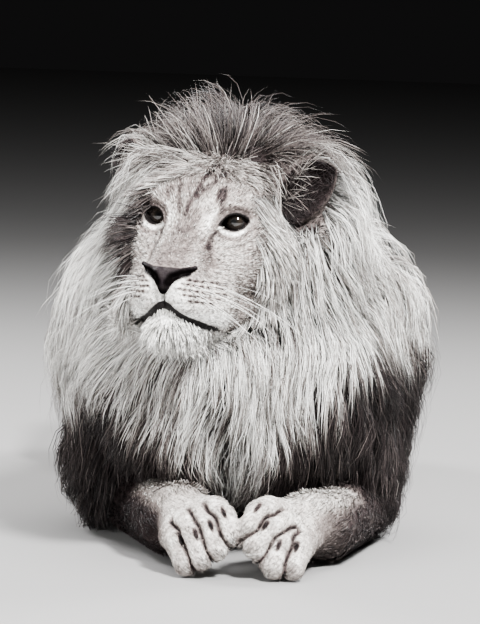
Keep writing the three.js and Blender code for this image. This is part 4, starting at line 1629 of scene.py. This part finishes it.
p, n = scatter(skin_mesh, COUNT["paw"], paw_weight, 22)
toes = smoothstep(30, 6, near_toes(p)[0])
arm = smoothstep(-690, -600, p[:, 1])
size = (14 + 6 * rng.random(len(p))) * (1 - 0.35 * toes + 0.7 * arm)
wide = (1.2 + 0.5 * rng.random(len(p))) * (1 - 0.2 * toes)
way = short_lie(p, n)
tone = np.minimum(coat_tone(p)[0], coat_tone(p + 0.8 * size[:, None] * way)[0] + 0.06)
tone = np.clip(tone * (1.05 + (0.14 + 0.10 * arm) * rng.normal(0, 1, len(p))), 0, 1)
tufts("paw_fur", p, n, way, size, wide, tone, lift=0.16 + 0.2 * arm, seed=2)


def body_weight(p):
    return open_skin(p) * ~is_paw(p) * ~is_face(p)


p, n = scatter(skin_mesh, COUNT["body"], body_weight, 23)
tone = np.clip(coat_tone(p)[0] + 0.03 * rng.normal(0, 1, len(p)), 0, 1)
size = 18 + 8 * rng.random(len(p))
wide = 1.8 + 0.9 * rng.random(len(p))
tufts("body_fur", p, n, short_lie(p, n), size, wide, tone, body_look, lift=0.16, seed=3)

# The chin's fluff, and the ruff between the cheeks and the mane.


def flat_way(x, y, z, n):
    """The direction (x, y, z) of the head, laid along its surface."""
    return tangent(np.column_stack(np.broadcast_arrays(x, y, z)) @ HEAD.T, n)


def chin_zone(p):
    q = to_head(p)
    below = (q[:, 2] < lip_height(np.abs(q[:, 0])) - 4) & (q[:, 2] > -222)
    return below * smoothstep(-132, -158, q[:, 2]) * (np.abs(q[:, 0]) < 72) * (q[:, 1] < 10)


p, n = scatter(skin_mesh, COUNT["chin"], chin_zone, 31)
q = to_head(p)
way = unit(flat_way(0.25 * q[:, 0] / 40, 0.15, -1.0, n) + 0.2 * n)
size = 18 + 24 * rng.random(len(p)) ** 1.5 + 8 * smoothstep(-60, 0, q[:, 1])
size *= 0.35 + 0.65 * smoothstep(4, 22, mouth_gap(q))
wide = 1.3 + 0.5 * rng.random(len(p))
tone = np.clip(0.95 + 0.05 * rng.normal(0, 1, len(p)), 0, 1)
tufts("chin_hair", p, n, way, size, wide, tone, rings=5, lift=0.9, seed=4, curl=0.10)


def ruff_zone(p):
    q = to_head(p)
    zone = face_zone(p)
    here = (q[:, 1] < 150) * (q[:, 2] > -190) * (near_head(p) < 12)
    ring = smoothstep(0.93, 1.0, zone) * smoothstep(1.22, 1.05, zone)
    return ring * here * (1 - 0.75 * smoothstep(40, 70, q[:, 2]))


p, n = scatter(skin_mesh, COUNT["ruff"], ruff_zone, 32)
q = to_head(p)
g = unit(slope(mane, p, 2))
way = tangent(lie(p, g) + 0.3 * unit(q @ HEAD.T), n)
size = 24 + 30 * smoothstep(0.95, 1.12, face_zone(p)) + 14 * rng.random(len(p))
# painted shade on the ruff beside the face's -X side
hollow = (q[:, 0] < -60) * smoothstep(50, 20, q[:, 2]) * smoothstep(-118, -84, q[:, 2])
tone = (0.16 + 0.7 * mane_tone(p, q)) * (1 - 0.45 * hollow)
tone = np.clip(tone + 0.12 * rng.normal(0, 1, len(p)), 0, 1)
wide = 1.4 + 0.5 * rng.random(len(p))
tufts("cheek_ruff", p, n, unit(way), size, wide, tone, mane_look, rings=5, seed=5, curl=0.08)

# Short strands that fall over the forehead from the hairline.


def hairline(p):
    q = to_head(p)
    ring = (face_zone(p) > 0.86) * (face_zone(p) < 1.06)
    return ring * (q[:, 2] > 55) * (q[:, 1] < 110) * (np.abs(q[:, 0] - 4) < 78)


p, n = scatter(skin_mesh, COUNT["forelock"], hairline, 33)
q = to_head(p)
way = flat_way(0.9 * (q[:, 0] - 8) / 60, -0.3, 0.25 - 1.5 * rng.random(len(p)), n)
size = 16 + 30 * rng.random(len(p)) ** 2
tone = np.clip(0.45 + 0.4 * rng.random(len(p)), 0, 1)
wide = 1.0 + 0.4 * rng.random(len(p))
tufts("forelock", p, n, way, size, wide, tone, mane_look, rings=5, lift=1.0, seed=10, curl=0.16)

# ------------------------------------------------------------------ the nose

p, quads = nets(nose_field, [-200, -800, 400], [30, -690, 500], NOSE_CELL)
p = onto(nose_field, p, rounds=1)
nose_mesh = mesh_from("nose_leather", p, quads)
colour = np.ones((len(p), 4))
q = to_head(p)
# painted shade: darker inside the nostrils and toward the nose's underside
colour[:, 0] = smoothstep(2.5, 9.0, nostrils(q)) * smoothstep(-112, -96, q[:, 2])
store(nose_mesh, "coat", colour)
m = Look("nose_leather")
cells = m.node("ShaderNodeTexVoronoi", {"Vector": m.where(), "Scale": 620.0})
leather = m.times(
    m.ramp(m.noise(70), [(0.3, (0.006, 0.004, 0.005)), (0.7, (0.013, 0.010, 0.010))]),
    m.ramp(cells.outputs["Distance"], [(0.1, 1.15), (0.6, 0.6)]),
)
# the leather darkened by that painted shade
m.colour(m.times(leather, m.ramp(m.attribute()[0], [(0, 0.15), (1, 1.3)])))
m.feed(m.shader, "Roughness", m.ramp(m.noise(300), [(0.3, 0.50), (0.7, 0.68)]))
m.feed(m.shader, "Specular IOR Level", m.ramp(m.attribute()[0], [(0, 0.0), (1, 0.10)]))
m.feed(m.shader, "Normal", m.bump(cells.outputs["Distance"], 0.5, 0.0012))
nose_mesh.materials.append(m.material)
add("nose_leather", nose_mesh, "nose", "nose")

# ------------------------------------------------------------------ the eyes


def eye_look():
    m = Look("eye", Roughness=0.04, Specular_IOR_Level=0.6, Coat_Weight=1.0, Coat_Roughness=0.02)
    radius, across, high = m.attribute("iris")[:3]
    shade = m.ramp(radius, [
        (0.0, 0.003), (0.20, 0.003), (0.26, (0.006, 0.005, 0.004)), (0.48, (0.012, 0.009, 0.007)),
        (0.66, (0.009, 0.007, 0.006)), (0.74, 0.003), (0.80, (0.007, 0.005, 0.005)),
        (1.0, (0.03, 0.023, 0.02)),
    ])
    deep = m.node("ShaderNodeMath", {0: radius, 1: 0.12}, operation="MULTIPLY").outputs[0]
    spokes = m.node("ShaderNodeCombineXYZ", {"X": across, "Y": high, "Z": deep})
    fibres = m.noise(26.0, 3, 0.6, spokes.outputs[0])
    m.colour(m.times(shade, m.ramp(fibres, [(0.32, 0.55), (0.55, 1.05), (0.72, 1.5)])))
    return m.material


EYE_LOOK = eye_look()
GAZE = np.array([math.sin(math.radians(3)), -math.cos(math.radians(3)), 0.04])


def eyeball(name, s, node):
    """A ball with a cornea, its pole along the gaze, with the distance from the pole stored."""
    pole = unit(HEAD @ GAZE)
    right = unit(np.cross(pole, [0, 0, 1.0]))
    up = np.cross(right, pole)
    polar = np.concatenate([np.linspace(0, 45, 40)[1:], np.linspace(45, 180, 24)[1:-1]])
    round_ = np.radians(np.linspace(0, 360, 65)[:-1])
    points, iris, faces = [pole * (EYE_RADIUS + CORNEA)], [(0, 0.5, 0.5, 1)], []
    for angle in np.radians(polar):
        rho = EYE_RADIUS * math.sin(angle)
        front = angle < math.pi / 2
        bulge = CORNEA * max(0, 1 - (rho / 13) ** 2) ** 1.2 if front else 0
        for a in round_:
            d = pole * math.cos(angle) + (right * math.cos(a) + up * math.sin(a)) * math.sin(angle)
            points.append(d * (EYE_RADIUS + bulge))
            far = rho / EYE_RADIUS if front else 1
            iris.append((far, 0.5 + 0.5 * math.cos(a), 0.5 + 0.5 * math.sin(a), 1))
    count = len(round_)
    rows = len(polar)
    points.append(-pole * EYE_RADIUS)
    iris.append((1, 0.5, 0.5, 1))
    for i in range(count):
        j = (i + 1) % count
        faces.append((0, 1 + i, 1 + j))
        for row in range(rows - 1):
            a, b = 1 + row * count + i, 1 + row * count + j
            faces += [(a, a + count, b + count), (a, b + count, b)]
        a = 1 + (rows - 1) * count
        faces.append((a + i, len(points) - 1, a + j))
    centre = from_head(np.array([[s * EYE_SPREAD, EYE_DEPTH, 0]]))[0]
    me = mesh_from(name, np.array(points) + centre, np.array(faces))
    store(me, "iris", iris)
    me.materials.append(EYE_LOOK)
    return add(name, me, "eye", node)


eyeball("eyeball_left", 1, "eye_left")
eyeball("eyeball_right", -1, "eye_right")

# ------------------------------------------------------------------ whiskers, ear wisps and claws


def skin_at(q):
    """The point of the head's skin in front of each (x, z) of the head."""
    q = np.asarray(q, float)
    start = np.column_stack([q[:, 0], np.full(len(q), -175.0), q[:, 1]])
    p = from_head(start)
    ahead = unit(HEAD @ np.array([0, 1.0, 0]))
    for _ in range(40):
        p = p + ahead * np.clip(near_head(p), -4, 14)[:, None] * 0.8
    return p


spots = [(s * x, z) for s in (1, -1) for row in WHISKER_ROWS for x, z in row[2::2]]
p = skin_at(spots)
n = unit(slope(near_head, p))
q = to_head(p)
side = np.sign(q[:, 0])
r = np.random.default_rng(41)
way = np.column_stack([side * 1.0, 0.55 + 0.25 * r.random(len(p)), -0.30 - 0.35 * r.random(len(p))])
way = unit(way @ HEAD.T)
long = 90 + 95 * r.random(len(p))
t = np.linspace(0, 1, 12)
width = 0.75 * (1 - 0.75 * t)[None] * np.ones((len(p), 1))
t = t[None, :, None]
start, end = unit(way + 0.5 * n)[:, None], unit(way + [0, 0.25, -0.45])[:, None]
lines = p[:, None] + long[:, None, None] * (start * (t - t * t / 2) + end * t * t / 2)
whisker_look = strand_look("whisker", root=0.8, tip=1.15, rough=0.4)
tapered("whiskers", lines, width, n, np.ones(len(p)), r.random(len(p)), n, whisker_look)


def ear_wisps(s, count):
    """Roots in a few bunches at an ear's inner edge, and hairs that fan out over the hollow."""
    r = np.random.default_rng(50 + s)
    bunch = r.integers(0, 4, count)
    across = s * (np.array([-26, -27, -22, -15])[bunch] + 3 * r.normal(0, 1, count))
    high = np.array([24, 2, -18, -36])[bunch] + 4 * r.normal(0, 1, count)
    e = np.column_stack([across, -6 - 5 * r.random(count), high])
    turn = np.radians(62 + 26 * r.normal(0, 1, count))
    way = np.column_stack([s * np.cos(turn), -0.3 - 0.3 * r.random(count), np.sin(turn)])
    at, spin = ear_frame(s)
    n = unit((np.array([[0, -1.0, 0]]) @ spin.T) @ HEAD.T) * np.ones((count, 1))
    return from_head(e @ spin.T + at), n, unit((way @ spin.T) @ HEAD.T), r


for s, name in ((1, "left"), (-1, "right")):
    p, n, way, r = ear_wisps(s, COUNT["ear_edge"])
    size = 20 + 24 * r.random(len(p))
    tone = 0.40 + 0.35 * r.random(len(p))
    width = 0.5 + 0.25 * r.random(len(p))
    tufts(f"ear_hair_{name}", p, n, way, size, width, tone, rings=7, lift=0.2, seed=6 + s, curl=0.30)


def hollows(p):
    near = np.zeros(len(p))
    for s in (1, -1):
        e = in_ear(p, s)
        near += ear_hollow(e) * round_ear(e)
    return near


p, n = scatter(skin_mesh, COUNT["ear_inside"], hollows, 51)
r = np.random.default_rng(52)
way = np.sign(p[:, 0] + 60) * 0.4, -0.5, 0.6 * r.normal(0, 1, len(p))
way = tangent(np.column_stack(np.broadcast_arrays(*way)), n)
size = 16 + 14 * r.random(len(p))
# dark hairs, keeping the painted shade in the ears' hollows
tone = 0.06 + 0.18 * r.random(len(p))
wide = 0.8 + 0.3 * r.random(len(p))
tufts("ear_hair_inside", p, n, way, size, wide, tone, rings=5, lift=0.7, seed=8, curl=0.15)

# The tail's tuft.
r = np.random.default_rng(61)
count = COUNT["tail"]
at = 0.80 + 0.19 * r.random(count)
p = spline(TAIL, at)
ahead = unit(spline(TAIL, np.minimum(at + 0.02, 1)) - spline(TAIL, at - 0.02))
n = unit(np.cross(ahead, r.normal(0, 1, (count, 3))))
n[:, 2] = np.abs(n[:, 2]) * 0.9 - 0.1
n = unit(n)
p = p + n * 9
size = np.minimum(60 + 50 * r.random(count), 90 + 500 * (1.02 - at))
wide, tone = 2.2 + 0.8 * r.random(count), 0.05 + 0.08 * r.random(count)
tufts("tail_hair", p, n, ahead, size, wide, tone, mane_look, rings=5, lift=0.55, seed=9, curl=0.07)


def horns(name, tips, look):
    """Short curved claws: each a tapered eight-sided body through a bent line."""
    points, faces = [], []
    for at, way, size in tips:
        way = unit(np.array([way], float))[0]
        side = unit(np.cross(way, [0, 0, 1.0]))
        up = np.cross(side, way)
        base, rows, sides = len(points), 7, 8
        for i in range(rows):
            u = i / (rows - 1)
            middle = np.array(at) + way * size * u - up * size * 0.45 * u**2
            radius = size * 0.24 * (1 - u) ** 0.7 + 0.25
            for k in range(sides):
                a = 2 * math.pi * k / sides
                points.append(middle + radius * (0.6 * side * math.cos(a) + up * math.sin(a)))
        for i in range(rows - 1):
            for k in range(sides):
                a, b = base + i * sides + k, base + i * sides + (k + 1) % sides
                faces += [(a, b, b + sides), (a, b + sides, a + sides)]
        for ring, flip in ((base, True), (base + (rows - 1) * sides, False)):
            for k in range(1, sides - 1):
                tri = (ring, ring + k, ring + k + 1)
                faces.append(tri[::-1] if flip else tri)
    points = np.array(points)
    points[:, 2] = np.maximum(points[:, 2], 0.6)
    me = mesh_from(name, points, np.array(faces))
    me.materials.append(look)
    return add(name, me, "nose")


CLAW = 13
claws = []
for leg in FORELEGS.values():
    for knuckle, tip in leg["toes"]:
        at, ahead = on_toe(knuckle, tip, 0.32)
        claws.append((at - 4.5 * unit(at - np.array(tip)), ahead + [0, 0, -0.10], CLAW))
for s in (1, -1):
    for i in FOUR:
        at = (s * (252 + i * 21) + HIPS_ASIDE * 0.7, 395 + 5 * i * i, 16)
        claws.append((at, (0, -1, -0.35), CLAW))
m = Look("claw", Roughness=0.32, Specular_IOR_Level=0.5)
m.colour(m.ramp(m.noise(240), [(0.3, (0.008, 0.006, 0.005)), (0.7, (0.030, 0.023, 0.019))]))
m.feed(m.shader, "Normal", m.bump(m.noise(500), 0.2, 0.0006))
horns("claws", claws, m.material)

# ------------------------------------------------------------------ the end

low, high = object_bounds()
{"cad": [list(cad_low), list(cad_high)], "visual": [list(low), list(high)]}
note("done")
